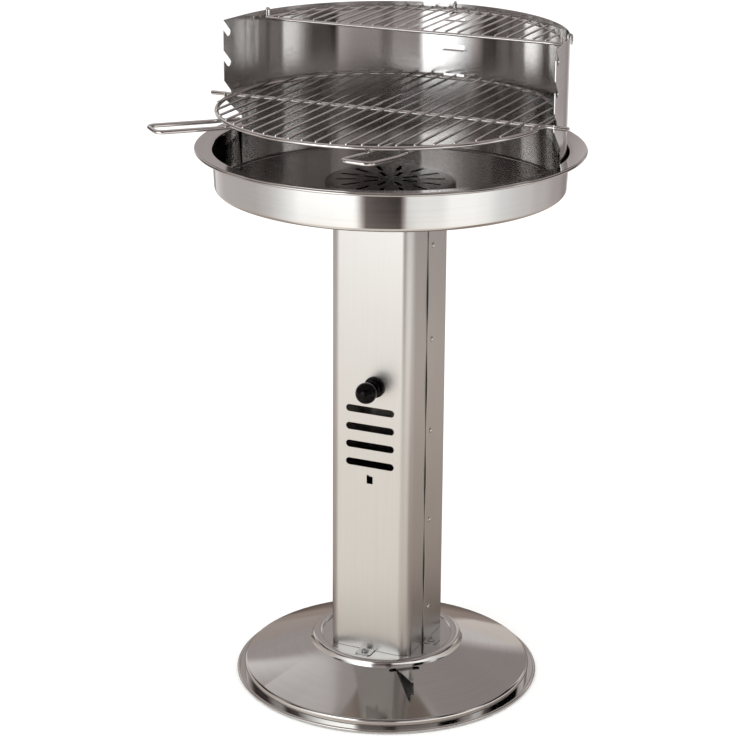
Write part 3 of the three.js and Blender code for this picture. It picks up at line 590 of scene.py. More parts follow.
def varied_metal(name, line_space, colours, roughnesses, bump=0.0, pitch=0.0, smear=0.0, lean=0.0):
    """Metal whose colour and roughness follow fine lines and broad handling marks.

    bump is how strongly lines of that pitch stand out. smear spreads what the metal mirrors across lines that
    run round the axis. lean, which needs a smear, is the slope that the shield's free upper part has sprung to.
    """
    material, tree = blank_material(name)
    spot = add_node(tree, "ShaderNodeTexCoord")["Object"]
    streaks = add_node(
        tree, "ShaderNodeTexNoise", {"Vector": line_space(tree), "Scale": 1.0, "Detail": 4.0, "Roughness": 0.6},
    )["Fac"]
    marks = add_node(
        tree, "ShaderNodeTexNoise", {"Vector": spot, "Scale": 1 / MARK_SPACING, "Detail": 3.0, "Roughness": 0.5},
    )["Fac"]
    blend = add_node(tree, "ShaderNodeMix", {"Factor": MARK_SHARE, "A": streaks, "B": marks})["Result"]
    share = add_node(
        tree, "ShaderNodeMapRange", {"Value": blend, "From Min": NOISE_LOW, "From Max": NOISE_HIGH},
    )["Result"]
    ends = {"Factor": share, "A": linear(colours[0]), "B": linear(colours[1])}
    tint = add_node(tree, "ShaderNodeMix", ends, data_type="RGBA")["Result"]
    rough = add_node(tree, "ShaderNodeMix", {"Factor": share, "A": roughnesses[0], "B": roughnesses[1]})["Result"]
    surface = {"Base Color": tint, "Metallic": 1.0, "Roughness": rough, "Anisotropic": smear}
    if bump:
        relief = {"Height": streaks, "Strength": bump, "Distance": pitch * RELIEF_SHARE}
        surface["Normal"] = add_node(tree, "ShaderNodeBump", relief)["Normal"]
    if smear:
        surface["Tangent"] = meridian(tree)
    if lean:
        surface["Normal"] = leaning_normal(tree, surface["Tangent"], lean)
    metal = add_node(tree, "ShaderNodeBsdfPrincipled", surface)["BSDF"]
    add_node(tree, "ShaderNodeOutputMaterial", {"Surface": metal})
    return material


def straight_lines(pitch, length):
    """Coordinates in which a noise draws upright brush lines."""
    def build(tree):
        spot = add_node(tree, "ShaderNodeTexCoord")["Object"]
        scale = (1 / pitch, 1 / pitch, 1 / length)
        return add_node(tree, "ShaderNodeVectorMath", {0: spot, 1: scale}, operation="MULTIPLY")[0]
    return build


def even_grain(pitch):
    """Coordinates for a grain that is the same in every direction."""
    return straight_lines(pitch, pitch)


def round_lines(pitch, turn):
    """Coordinates in which a noise draws lines of that turn, in radians, round the column's axis."""
    def build(tree):
        spot = add_node(tree, "ShaderNodeTexCoord")["Object"]
        arm = add_node(tree, "ShaderNodeVectorMath", {0: spot, 1: (*AXIS, 0)}, operation="SUBTRACT")[0]
        parts = add_node(tree, "ShaderNodeSeparateXYZ", {"Vector": arm})
        level = add_node(tree, "ShaderNodeCombineXYZ", {"X": parts["X"], "Y": parts["Y"]})["Vector"]
        radius = add_node(tree, "ShaderNodeVectorMath", {0: level}, operation="LENGTH")["Value"]
        front = add_node(tree, "ShaderNodeMath", {0: parts["Y"], 1: -1.0}, operation="MULTIPLY")[0]
        angle = add_node(tree, "ShaderNodeMath", {0: parts["X"], 1: front}, operation="ARCTAN2")[0]
        swept = add_node(tree, "ShaderNodeCombineXYZ", {"X": radius, "Y": angle, "Z": parts["Z"]})["Vector"]
        scale = (1 / pitch, 1 / turn, 1 / pitch)
        return add_node(tree, "ShaderNodeVectorMath", {0: swept, 1: scale}, operation="MULTIPLY")[0]
    return build


def belt_brushed_stainless():
    """Stainless sheet brushed along the coil: satin, with long fine lines that soften what it mirrors."""
    pitch = bpy.context.scene.grill_sizes.brush_pitch
    return varied_metal(
        "belt_brushed_stainless", straight_lines(pitch, BRUSH_LENGTH * pitch),
        ("#cdccca", "#d4d3d1"), (0.32, 0.38), bump=0.03, pitch=pitch,
    )


def spun_stainless():
    """Stainless sheet spun and polished on a lathe: fine lines round the axis, a soft mirror across them."""
    pitch = bpy.context.scene.grill_sizes.brush_pitch
    return varied_metal(
        "spun_stainless", round_lines(pitch, LATHE_TURN),
        ("#cbcac8", "#d4d3d1"), (0.06, 0.09), smear=LATHE_SMEAR,
    )


def dark_dulled_stainless():
    """The charcoal grate's sheet: spun like the bowl, but duller and darker all over."""
    pitch = bpy.context.scene.grill_sizes.brush_pitch
    return varied_metal(
        "dark_dulled_stainless", round_lines(pitch, LATHE_TURN),
        ("#7d7b7a", "#888684"), (0.10, 0.16), smear=LATHE_SMEAR,
    )


def bright_annealed_stainless():
    """Bright stainless sheet rolled to a half round: the rolls draw what it mirrors into upright bands."""
    return varied_metal(
        "bright_annealed_stainless", round_lines(ROLL_PITCH, ROLL_TURN),
        ("#cdcccb", "#d6d5d4"), (0.11, 0.13), smear=ROLL_SMEAR, lean=SPRING_LEAN,
    )


def chrome_plated_wire():
    """Drawn steel wire with a nickel and chrome plate: bright, with the drawing lines just showing."""
    return varied_metal(
        "chrome_plated_wire", even_grain(WIRE_GRAIN),
        ("#dcdad9", "#eeedec"), (0.07, 0.13), bump=0.02, pitch=WIRE_LINE,
    )


def zinc_plated_steel():
    """Cold-headed steel with a bright zinc plate: a grainy, slightly blue half gloss."""
    return varied_metal(
        "zinc_plated_steel", even_grain(ZINC_GRAIN),
        ("#aeb1b5", "#c9cbce"), (0.28, 0.40), bump=0.08, pitch=ZINC_GRAIN,
    )


def polished_rivet_steel():
    """Set rivet heads: polished by the setting tool, so that each one is a bright dot."""
    return varied_metal(
        "polished_rivet_steel", even_grain(RIVET_GRAIN),
        ("#dcd9d7", "#efedec"), (0.12, 0.22), bump=0.05, pitch=RIVET_GRAIN,
    )


def dull_black_steel():
    """Plain steel strip: dull and nearly black all over."""
    return varied_metal(
        "dull_black_steel", even_grain(BLACK_STEEL_GRAIN),
        ("#1d1b1a", "#37332f"), (0.45, 0.65), bump=0.15, pitch=BLACK_STEEL_GRAIN,
    )


def moulded_phenolic():
    """Compression-moulded phenolic: deep black with a polished skin and a faint orange peel."""
    material, tree = blank_material("moulded_phenolic")
    spot = add_node(tree, "ShaderNodeTexCoord")["Object"]
    peel = add_node(
        tree, "ShaderNodeTexNoise", {"Vector": spot, "Scale": 1 / PEEL_SPACING, "Detail": 2.0, "Roughness": 0.5},
    )["Fac"]
    ends = {"Factor": peel, "A": linear("#030203"), "B": linear("#070607")}
    tint = add_node(tree, "ShaderNodeMix", ends, data_type="RGBA")["Result"]
    relief = {"Height": peel, "Strength": 0.06, "Distance": PEEL_DEPTH}
    skin = add_node(tree, "ShaderNodeBsdfPrincipled", {
        "Base Color": tint, "Normal": add_node(tree, "ShaderNodeBump", relief)["Normal"],
        "IOR": 1.5, "Specular IOR Level": 0.12, "Roughness": 0.1,
    })["BSDF"]
    add_node(tree, "ShaderNodeOutputMaterial", {"Surface": skin})
    return material


FINISHES = {
    "brushed_sheet": belt_brushed_stainless,
    "spun_sheet": spun_stainless,
    "dark_dull_sheet": dark_dulled_stainless,
    "bright_sheet": bright_annealed_stainless,
    "chrome_wire": chrome_plated_wire,
    "zinc_fastener": zinc_plated_steel,
    "bright_rivet": polished_rivet_steel,
    "damper_steel": dull_black_steel,
    "black_bakelite": moulded_phenolic,
}
_made_finishes = {}


def finish(name):
    """The material of a finish, made once."""
    if name not in _made_finishes:
        _made_finishes[name] = FINISHES[name]()
    return _made_finishes[name]


# Pieces


class PieceOperator:
    """What every operator of this file shares."""

    bl_options = {"REGISTER", "UNDO"}


class GRILL_OT_base_plate(PieceOperator, bpy.types.Operator):
    """Pressed round base with a rolled rim, a ring bead and a lanced tongue"""

    bl_idname = "grill.base_plate"
    bl_label = "Base plate"

    def execute(self, context):
        sides = context.scene.grill_sizes.turned_sides
        slope = math.atan2(CONE_TOP_HEIGHT - SHOULDER_HEIGHT, WALL_RADIUS - CONE_TOP_RADIUS)
        bead = arc(
            (BEAD_INNER + BEAD_OUTER) / 2, PLATEAU, (BEAD_OUTER - BEAD_INNER) / 2, BEAD_RISE,
            math.pi, 0, 2 * BEND_STEPS,
        )
        shoulder = arc(
            WALL_RADIUS - SHOULDER_RADIUS, SHOULDER_HEIGHT - SHOULDER_RADIUS, SHOULDER_RADIUS, SHOULDER_RADIUS,
            math.pi / 2 - slope, 0,
        )
        path = [
            (0, PLATEAU), *bead, (CONE_TOP_RADIUS, CONE_TOP_HEIGHT), *shoulder, (WALL_RADIUS, WALL_FOOT),
            (BASE_RADIUS - RIM_WIDTH / 2, WALL_FOOT),
        ]
        plate = turned_mesh(sheet_section(path, BASE_SHEET), sides, AXIS)
        piece = new_piece("base_plate_sheet", *plate)
        carve(piece, self.tongue_openings(slope))
        fuse(piece, [turned_mesh(self.rim_section(), sides, AXIS), self.tongue()])
        finished(piece, finish("spun_sheet"), "stand", "brushed_sheet", "base_plate")
        return {"FINISHED"}

    def rim_section(self):
        """The rolled rim, flat where it stands on the ground."""
        middle, flat = BASE_RADIUS - RIM_WIDTH / 2, RIM_WIDTH / 4
        crown = arc(
            middle, RIM_HEIGHT / 2, RIM_WIDTH / 2, RIM_HEIGHT / 2,
            -math.pi / 4, 5 * math.pi / 4, 2 * BEND_STEPS,
        )
        return [(middle + flat, 0), *crown, (middle - flat, 0)]

    def tongue_turn(self):
        """Matrix that turns the tongue from +X to its bearing, about the column's axis."""
        turn = Matrix.Rotation(TONGUE_ANGLE - math.pi / 2, 4, "Z")
        return Matrix.Translation((AXIS.x, AXIS.y, 0)) @ turn

    def tongue_openings(self, slope):
        """Cutters for the wedge under the tongue and the slot across its root."""
        reach = TONGUE_LENGTH * math.cos(slope)
        wedge = [
            (CONE_TOP_RADIUS, -TONGUE_ROOT / 2), (CONE_TOP_RADIUS + reach, -TONGUE_TIP / 2),
            (CONE_TOP_RADIUS + reach, TONGUE_TIP / 2), (CONE_TOP_RADIUS, TONGUE_ROOT / 2),
        ]
        slot = [(CONE_TOP_RADIUS + TONGUE_SLOT[1] / 2 - y, x) for x, y in slot_outline(*TONGUE_SLOT)]
        tall = 2 * CONE_TOP_HEIGHT
        turn = self.tongue_turn()
        return [moved(prism_mesh(outline, WALL_FOOT, tall), turn) for outline in (wedge, slot)]

    def tongue(self):
        """The tongue itself: it rises from the ring and levels out towards its tip."""
        start, steps = CONE_TOP_RADIUS - BASE_SHEET, 2 * BEND_STEPS
        vertices = []
        for i in range(steps + 1):
            share = i / steps
            half = (TONGUE_ROOT * (1 - share) + TONGUE_TIP * share) / 2 - FIT * (1 - share)
            top = CONE_TOP_HEIGHT + TONGUE_LIFT * (1 - (1 - share) ** 2)
            x = start + TONGUE_LENGTH * share
            for z in (top - BASE_SHEET, top):
                vertices += [Vector((x, -half, z)), Vector((x, half, z))]
        faces = []
        for i in range(steps):
            a, b = 4 * i, 4 * (i + 1)
            faces += [
                (a, a + 1, b + 1, b), (a + 2, b + 2, b + 3, a + 3),
                (a, b, b + 2, a + 2), (a + 1, a + 3, b + 3, b + 1),
            ]
        end = 4 * steps
        faces += [(0, 2, 3, 1), (end, end + 1, end + 3, end + 2)]
        return moved((vertices, faces), self.tongue_turn())


def channel_outline(half_width, half_depth, corner, reach):
    """Half of a lapped box in plan, open towards +Y."""
    def run(inset):
        radius = corner - inset
        x, y = half_width - corner, corner - half_depth
        left = arc(-x, y, radius, radius, math.pi, 3 * math.pi / 2)
        right = arc(x, y, radius, radius, 3 * math.pi / 2, 2 * math.pi)
        return [(inset - half_width, reach), *left, *right, (half_width - inset, reach)]
    return run(0) + run(SHEET)[::-1]


def lug_meshes(turn, face_distance, half):
    """The two out-turned lugs of one side of the column."""
    root = face_distance - SHEET
    end = half + LUG_REACH
    parts = []
    for low in (COLUMN_FOOT, COLUMN_TOP - SHEET):
        corners = [
            Vector((-LUG_WIDTH / 2, -root, 0)), Vector((-LUG_WIDTH / 2, -end, 0)),
            Vector((LUG_WIDTH / 2, -end, 0)), Vector((LUG_WIDTH / 2, -root, 0)),
        ]
        outline = [(p.x, p.y) for p in rounded(corners, LUG_CORNER)]
        matrix = Matrix.Translation((AXIS.x, AXIS.y, 0)) @ Matrix.Rotation(turn, 4, "Z")
        parts.append(moved(prism_mesh(outline, low, low + SHEET), matrix))
    return parts


class GRILL_OT_column(PieceOperator, bpy.types.Operator):
    """Folded front and rear shells of the column, with the vents and the lapped seams"""

    bl_idname = "grill.column"
    bl_label = "Column"

    def execute(self, context):
        self.front_shell()
        self.rear_shell(context.scene.grill_sizes.seam_bulge)
        return {"FINISHED"}

    def face_cutter(self, outline, x, z):
        """A cutter through the front face from an outline in X and Z."""
        made = prism_mesh(outline, -SHEET - OVERRUN, SHEET + OVERRUN)
        matrix = Matrix.Translation((AXIS.x + x, COLUMN_FACE, z)) @ Matrix.Rotation(math.pi / 2, 4, "X")
        return moved(made, matrix)

    def front_shell(self):
        """The front shell, with its vents, the stud's slot, the guide tab and its lugs."""
        outline = channel_outline(COLUMN_HALF, COLUMN_HALF_DEPTH, CORNER_RADIUS, FRONT_REACH)
        shell = prism_mesh(outline, COLUMN_FOOT, COLUMN_TOP)
        piece = new_piece("column_front_sheet", *moved(shell, Matrix.Translation((AXIS.x, AXIS.y, 0))))
        vent = slot_outline(VENT_LENGTH, VENT_HEIGHT)
        tools = [self.face_cutter(vent, VENT_OFFSET, LOWEST_VENT + i * VENT_PITCH) for i in range(VENTS)]
        stud = [(y, x) for x, y in slot_outline(STUD_SLOT[1], STUD_SLOT[0])]
        travel = STUD_SLOT[1] - STUD_SLOT[0]
        tools.append(self.face_cutter(stud[::-1], KNOB.x - AXIS.x, KNOB.z + travel / 2))
        half = GUIDE_WIDTH / 2
        window = [(-half, -GUIDE_HEIGHT), (half, -GUIDE_HEIGHT), (half, 0), (-half, 0)]
        tools.append(self.face_cutter(window, VENT_OFFSET, GUIDE_TOP))
        carve(piece, tools)
        fuse(piece, [*lug_meshes(0, COLUMN_HALF_DEPTH, COLUMN_HALF_DEPTH), *self.guide()])
        keep_flats(piece)
        finished(piece, finish("brushed_sheet"), "stand", "brushed_sheet", "column_front_shell")

    def guide(self):
        """The tab that is lanced in through the damper's tail."""
        half, face = GUIDE_WIDTH / 2 - FIT, COLUMN_FACE
        path = rounded([
            Vector((0, face + SHEET / 2, GUIDE_TOP + SHEET / 2)),
            Vector((0, face + GUIDE_REACH - SHEET / 2, GUIDE_TOP + SHEET / 2)),
            Vector((0, face + GUIDE_REACH - SHEET / 2, GUIDE_TOP + SHEET - GUIDE_LIP)),
        ], SHEET)
        vertices, faces = [], []
        for i, point in enumerate(path):
            along = (path[min(i + 1, len(path) - 1)] - path[max(i - 1, 0)]).normalized()
            normal = Vector((0, along.z, -along.y)) * SHEET / 2
            for side in (-half, half):
                shift = Vector((AXIS.x + VENT_OFFSET + side, 0, 0))
                vertices += [point + normal + shift, point - normal + shift]
        for i in range(len(path) - 1):
            a, b = 4 * i, 4 * (i + 1)
            faces += [
                (a, a + 2, b + 2, b), (a + 1, b + 1, b + 3, a + 3),
                (a, b, b + 1, a + 1), (a + 2, a + 3, b + 3, b + 2),
            ]
        end = len(vertices) - 4
        faces += [(0, 1, 3, 2), (end, end + 2, end + 3, end + 1)]
        return [(vertices, faces)]

    def rear_shell(self, bulge):
        """The rear shell, whose lapped front edges stand off a little between the rivets."""
        half = COLUMN_HALF + SHEET + FIT
        outline = channel_outline(half, COLUMN_HALF_DEPTH, CORNER_RADIUS + SHEET, REAR_REACH)
        first_rivet = middle_of("seam_rivet_right_1").z
        pitch = middle_of("seam_rivet_right_2").z - first_rivet
        levels = [COLUMN_FOOT + (COLUMN_TOP - COLUMN_FOOT) * i / SEAM_ROWS for i in range(SEAM_ROWS + 1)]
        lap = REAR_REACH + SEAM_FADE
        vertices = []
        for z in levels:
            swing = bulge * math.sin(math.pi * (z - first_rivet) / pitch) ** 2
            for x, y in outline:
                near = max(0, (y - REAR_REACH + lap) / lap)
                vertices.append(Vector((x + math.copysign(swing * near * near, x), y, z)))
        count = len(outline)
        faces = [tuple(range(count))[::-1], tuple(SEAM_ROWS * count + i for i in range(count))]
        for r in range(SEAM_ROWS):
            for i in range(count):
                n = (i + 1) % count
                faces.append((r * count + i, r * count + n, (r + 1) * count + n, (r + 1) * count + i))
        matrix = Matrix.Translation((AXIS.x, AXIS.y, 0)) @ Matrix.Rotation(math.pi, 4, "Z")
        parts = [moved((vertices, faces), matrix)]
        for turn in (math.pi / 2, -math.pi / 2):
            parts += lug_meshes(turn, half, COLUMN_HALF)
        parts += lug_meshes(math.pi, COLUMN_HALF_DEPTH, COLUMN_HALF_DEPTH)
        piece = new_piece("column_rear_sheet", *gathered(parts))
        keep_flats(piece)
        finished(piece, finish("brushed_sheet"), "stand", "brushed_sheet", "column_rear_shell")


class GRILL_OT_fasteners(PieceOperator, bpy.types.Operator):
    """Domed seam rivets and cross-slotted pan-head screws"""

    bl_idname = "grill.fasteners"
    bl_label = "Rivets and screws"

    def execute(self, context):
        for side, sign in (("left", -1), ("right", 1)):
            for i in range(RIVETS):
                self.rivet(f"seam_rivet_{side}_{i + 1}", sign)
        for end in ("foot", "bowl"):
            for side in SCREW_SIDES:
                self.screw(f"{end}_screw_{side}")
        return {"FINISHED"}

    def rivet(self, node, sign):
        """One rivet: a domed head with a small flat, its shank and the upset head inside."""
        low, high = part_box(node)
        length, radius = high.x - low.x, (high.z - low.z) / 2
        head, shank, tail = RIVET_HEAD * length, RIVET_SHANK * radius, RIVET_TAIL * radius
        dome = arc(0, length - head, radius, head, 0, RIVET_DOME)
        section = [
            (0, 0), (tail, 0), (tail, head), (shank, head), (shank, length - head), *dome,
            (0, length - RIVET_FLAT * head),
        ]
        made = turned_mesh(section, SMALL_SIDES // 2)
        start = low.x if sign > 0 else high.x
        matrix = Matrix.Translation((start, (low.y + high.y) / 2, (low.z + high.z) / 2))
        made = moved(made, matrix @ Matrix.Rotation(sign * math.pi / 2, 4, "Y"))
        piece = new_piece(f"{node}_head", *made)
        finished(piece, finish("bright_rivet"), "stand", "bright_rivet", node)

    def screw(self, node):
        """One screw: a crowned pan head with a cross recess, and a plain shank."""
        low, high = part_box(node)
        radius = (high.x - low.x) / 2
        centre, seat = (low + high) / 2, high.z - SCREW_HEAD
        rim = seat + SCREW_RIM * SCREW_HEAD
        crown = arc(0, rim, radius, (1 - SCREW_RIM) * SCREW_HEAD, *SCREW_CROWN)
        point, chamfer = SCREW_POINT
        section = [
            (0, low.z), (point, low.z), (SCREW_SHANK, low.z + chamfer), (SCREW_SHANK, seat),
            (radius, seat), (radius, rim), *crown, (0, high.z),
        ]
        piece = new_piece(f"{node}_head", *turned_mesh(section, SMALL_SIDES, centre.xy))
        reach, half = RECESS_REACH * radius, RECESS_WIDTH / 2
        floor, above = high.z - RECESS_DEPTH, high.z + OVERRUN
        arms = []
        for across, along in ((reach, half), (half, reach)):
            low_corner = (centre.x - across, centre.y - along, floor)
            arms.append(block_mesh(low_corner, (centre.x + across, centre.y + along, above)))
        carve(piece, arms)
        finished(piece, finish("zinc_fastener"), "stand", "zinc_fastener", node)


class GRILL_OT_damper(PieceOperator, bpy.types.Operator):
    """Moulded ball knob of the air damper"""

    bl_idname = "grill.damper"
    bl_label = "Damper knob"

    def execute(self, context):
        low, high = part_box("damper_knob")
        disc = (high.z - low.z) / 2
        edge = KNOB_DISC_HEIGHT / 2
        fillet = KNOB_NECK + KNOB_FILLET[0], KNOB_FILLET_HEIGHT, *KNOB_FILLET
        start = -math.acos(KNOB_NECK / KNOB_BALL)
        section = [
            (0, 0),
            *arc(disc - edge, edge, edge, edge, -math.pi / 2, math.pi / 2),
            *arc(*fillet, -math.pi / 2, -math.pi, SMALL_BEND_STEPS),
            *arc(0, KNOB_BALL_HEIGHT, KNOB_BALL, KNOB_BALL, start, math.pi / 2, 3 * BEND_STEPS),
        ]
        section[-1] = (0, KNOB_BALL_HEIGHT + KNOB_BALL)
        matrix = Matrix.Translation((KNOB.x, high.y, KNOB.z)) @ Matrix.Rotation(math.pi / 2, 4, "X")
        piece = new_piece("damper_ball_knob", *moved(turned_mesh(section, 2 * SMALL_SIDES), matrix))
        finished(piece, finish("black_bakelite"), "damper", "black_bakelite", "damper_knob")
        return {"FINISHED"}


class GRILL_OT_fire_bowl(PieceOperator, bpy.types.Operator):
    """Drawn bowl with its flange, rolled bead and air mouth"""

    bl_idname = "grill.fire_bowl"
    bl_label = "Fire bowl"

    def execute(self, context):
        sides = context.scene.grill_sizes.turned_sides
        wall_top = BOWL_RADIUS - FLANGE_WIDTH
        wall_foot = wall_top - WALL_DRAFT
        corner = arc(
            wall_foot - BOWL_CORNER, BOWL_UNDERSIDE + BOWL_CORNER, BOWL_CORNER, BOWL_CORNER, -math.pi / 2, 0,
        )
        bead_centre = BOWL_FLANGE - BOWL_BEAD
        inner = bead_centre + BOWL_BEAD - SHEET / 2 - FLANGE_DROP
        shoulder = arc(
            wall_top + BOWL_SHOULDER, inner - BOWL_SHOULDER, BOWL_SHOULDER, BOWL_SHOULDER, math.pi, math.pi / 2,
        )
        bead_radius = BOWL_RADIUS - BOWL_BEAD
        path = [(BOWL_MOUTH, BOWL_UNDERSIDE), *corner, *shoulder, (bead_radius, BOWL_FLANGE - SHEET / 2)]
        pan = turned_mesh(sheet_section(path[::-1], SHEET), sides, AXIS)
        circle = arc(bead_radius, bead_centre, BOWL_BEAD, BOWL_BEAD, 0, 2 * math.pi, 2 * BEND_STEPS)
        bead = turned_mesh(circle[:-1], sides, AXIS)
        piece = new_piece("fire_bowl_sheet", *gathered([pan, bead]))
        finished(piece, finish("spun_sheet"), "stand", "brushed_sheet", "fire_bowl")
        return {"FINISHED"}


class GRILL_OT_charcoal_grate(PieceOperator, bpy.types.Operator):
    """Slotted disc with a turned-down skirt over the bowl's mouth"""

    bl_idname = "grill.charcoal_grate"
    bl_label = "Charcoal grate"

    def execute(self, context):
        low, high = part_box("charcoal_grate")
        radius, height = (high.x - low.x) / 2, high.z - low.z
        edge = arc(radius - height / 2, high.z - height / 2, height / 2, height / 2, math.pi / 2, 0)
        section = sheet_section([(0, high.z), *edge, (radius, low.z)], COAL_SHEET)
        piece = new_piece("charcoal_grate_disc", *turned_mesh(section, TURNED_SIDES // 2, AXIS))
        tools = []
        for count, radius_share, length_share in COAL_SLOT_RINGS:
            outline = slot_outline(length_share * radius, COAL_SLOT_WIDTH, SMALL_BEND_STEPS)
            for i in range(count):
                turn = 2 * math.pi * i / count
                matrix = Matrix.Translation((AXIS.x, AXIS.y, 0)) @ Matrix.Rotation(turn, 4, "Z")
                matrix @= Matrix.Translation((radius_share * radius, 0, 0))
                tools.append(moved(prism_mesh(outline, high.z - height / 2, high.z + OVERRUN), matrix))
        carve(piece, [gathered(tools)])
        finished(piece, finish("dark_dull_sheet"), "charcoal_grate", "brushed_sheet", "charcoal_grate")
        return {"FINISHED"}


class GRILL_OT_wind_shield(PieceOperator, bpy.types.Operator):
    """Half-round sheet with flat notched ends and lanced shelves at the rear"""

    bl_idname = "grill.wind_shield"
    bl_label = "Wind shield"

    def execute(self, context):
        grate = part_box("cooking_grate")
        rim_height = grate[0].z + RIM_WIRE
        seat = rim_height - RIM_WIRE - FIT
        shelves = [seat + i * NOTCH_PITCH for i in range(NOTCHES)]
        piece = self.wall(shelves)
        self.notch(piece, seat, rim_height)
        tabs = []
        wall = AXIS.y + SHIELD_RADIUS - SHEET / 2
        left = AXIS.x + SHELF_OFFSET - SHELF_WIDTH / 2 + FIT
        right = left + SHELF_WIDTH - 2 * FIT
        for top in shelves:
            tabs.append(block_mesh((left, wall - SHELF_REACH, top - SHEET), (right, wall, top)))
        fuse(piece, tabs)
        keep_flats(piece)
        finished(piece, finish("bright_sheet"), "wind_shield", "bright_sheet", "wind_shield")
        return {"FINISHED"}

    def strip_end(self, radius):
        """How far to the side the splayed end strip ends, for one face of the sheet."""
        return radius * math.cos(SPLAY) + (radius * math.sin(SPLAY) + STRIP_FRONT) * math.tan(SPLAY)

    def wall(self, shelves):
        """The rolled sheet, with a gap in its faces where each shelf is lanced out."""
        slot = [math.acos((SHELF_OFFSET + s * SHELF_WIDTH / 2) / SHIELD_RADIUS) for s in (1, -1)]
        spans = (
            (SPLAY, slot[0], SHIELD_STEPS), (*slot, SHELF_STEPS), (slot[1], math.pi - SPLAY, SHIELD_STEPS),
        )
        angles = [SPLAY]
        for first, last, steps in spans:
            angles += [first + (last - first) * k / steps for k in range(1, steps + 1)]
        runs = []
        for radius in (SHIELD_RADIUS, SHIELD_RADIUS - SHEET):
            end = self.strip_end(radius)
            bend = [(radius * math.cos(a), radius * math.sin(a)) for a in angles]
            runs.append([(end, -STRIP_FRONT), *bend, (-end, -STRIP_FRONT)])
        outer, inner = runs
        levels = [SHIELD_FOOT]
        for top in shelves:
            levels += [top, top + SHELF_SLOT]
        levels.append(SHIELD_TOP)
        columns, rows = len(outer), len(levels)
        vertices = [place(x, y, z) for run in (outer, inner) for z in levels for x, y in run]
        slot_columns = range(1 + SHIELD_STEPS, 1 + SHIELD_STEPS + SHELF_STEPS)
        gone = {(i, r) for i in slot_columns for r in range(1, rows - 1, 2)}
        back = columns * rows
        faces = []

        def spot(i, r, layer):
            return layer * back + r * columns + i

        for r in range(rows - 1):
            for i in range(columns - 1):
                if (i, r) in gone:
                    continue
                faces.append((spot(i, r, 0), spot(i + 1, r, 0), spot(i + 1, r + 1, 0), spot(i, r + 1, 0)))
                faces.append((spot(i, r, 1), spot(i, r + 1, 1), spot(i + 1, r + 1, 1), spot(i + 1, r, 1)))
                open_sides = {
                    ((i, r), (i + 1, r)): r == 0 or (i, r - 1) in gone,
                    ((i + 1, r + 1), (i, r + 1)): r == rows - 2 or (i, r + 1) in gone,
                    ((i, r + 1), (i, r)): i == 0 or (i - 1, r) in gone,
                    ((i + 1, r), (i + 1, r + 1)): i == columns - 2 or (i + 1, r) in gone,
                }
                for (a, b), is_open in open_sides.items():
                    if is_open:
                        faces.append((spot(*b, 0), spot(*a, 0), spot(*a, 1), spot(*b, 1)))
        return new_piece("wind_shield_sheet", vertices, faces)

    def notch(self, piece, seat, rim_height):
        """Cuts the hook notches and the slanted lower corners of both flat end strips."""
        tools = []
        radius, reach = NOTCH_WIDTH / 2, 2 * STRIP_FRONT
        slide = Vector((-math.cos(NOTCH_SLANT), math.sin(NOTCH_SLANT))) * reach
        for level in range(NOTCHES):
            centre = (-CROSSBAR_AHEAD, seat + radius + level * NOTCH_PITCH)
            seat_arc = arc(*centre, radius, radius, -math.pi / 2 - NOTCH_SLANT, math.pi / 2 - NOTCH_SLANT)
            first, last = Vector(seat_arc[0]) + slide, Vector(seat_arc[-1]) + slide
            tools.append([tuple(first), *seat_arc, tuple(last)])
        top, foot = rim_height - TRIM_BELOW_GRATE, SHIELD_FOOT - OVERRUN
        tools.append([
            (-STRIP_FRONT - OVERRUN, top), (-STRIP_FRONT - OVERRUN, foot), (TRIM_REAR, foot),
            (TRIM_REAR, top - TRIM_HEIGHT), (-STRIP_FRONT, top),
        ])
        span = self.strip_end(SHIELD_RADIUS) + OVERRUN
        to_yz = Matrix(((0, 0, 1, AXIS.x), (1, 0, 0, AXIS.y), (0, 1, 0, 0), (0, 0, 0, 1)))
        carve(piece, [moved(prism_mesh(outline, -span, span), to_yz) for outline in tools])


def bars(radius, pitch, wire, overhang, height, centre=(0, 0), front=None):
    """Straight bars along Y across a round outline, one at each pitch, cut off at front if it is given."""
    made = []
    count = int((radius - 2 * wire) / pitch)
    for i in range(-count, count + 1):
        x = i * pitch
        half = math.sqrt(radius * radius - (x - centre[0]) ** 2) + overhang
        rear = centre[1] + half
        near = centre[1] - half if front is None else front - overhang
        if rear - near > pitch:
            path = [place(x, near + (rear - near) * k / BAR_STEPS, height) for k in range(BAR_STEPS + 1)]
            made.append(wire_mesh(path, wire))
    return made


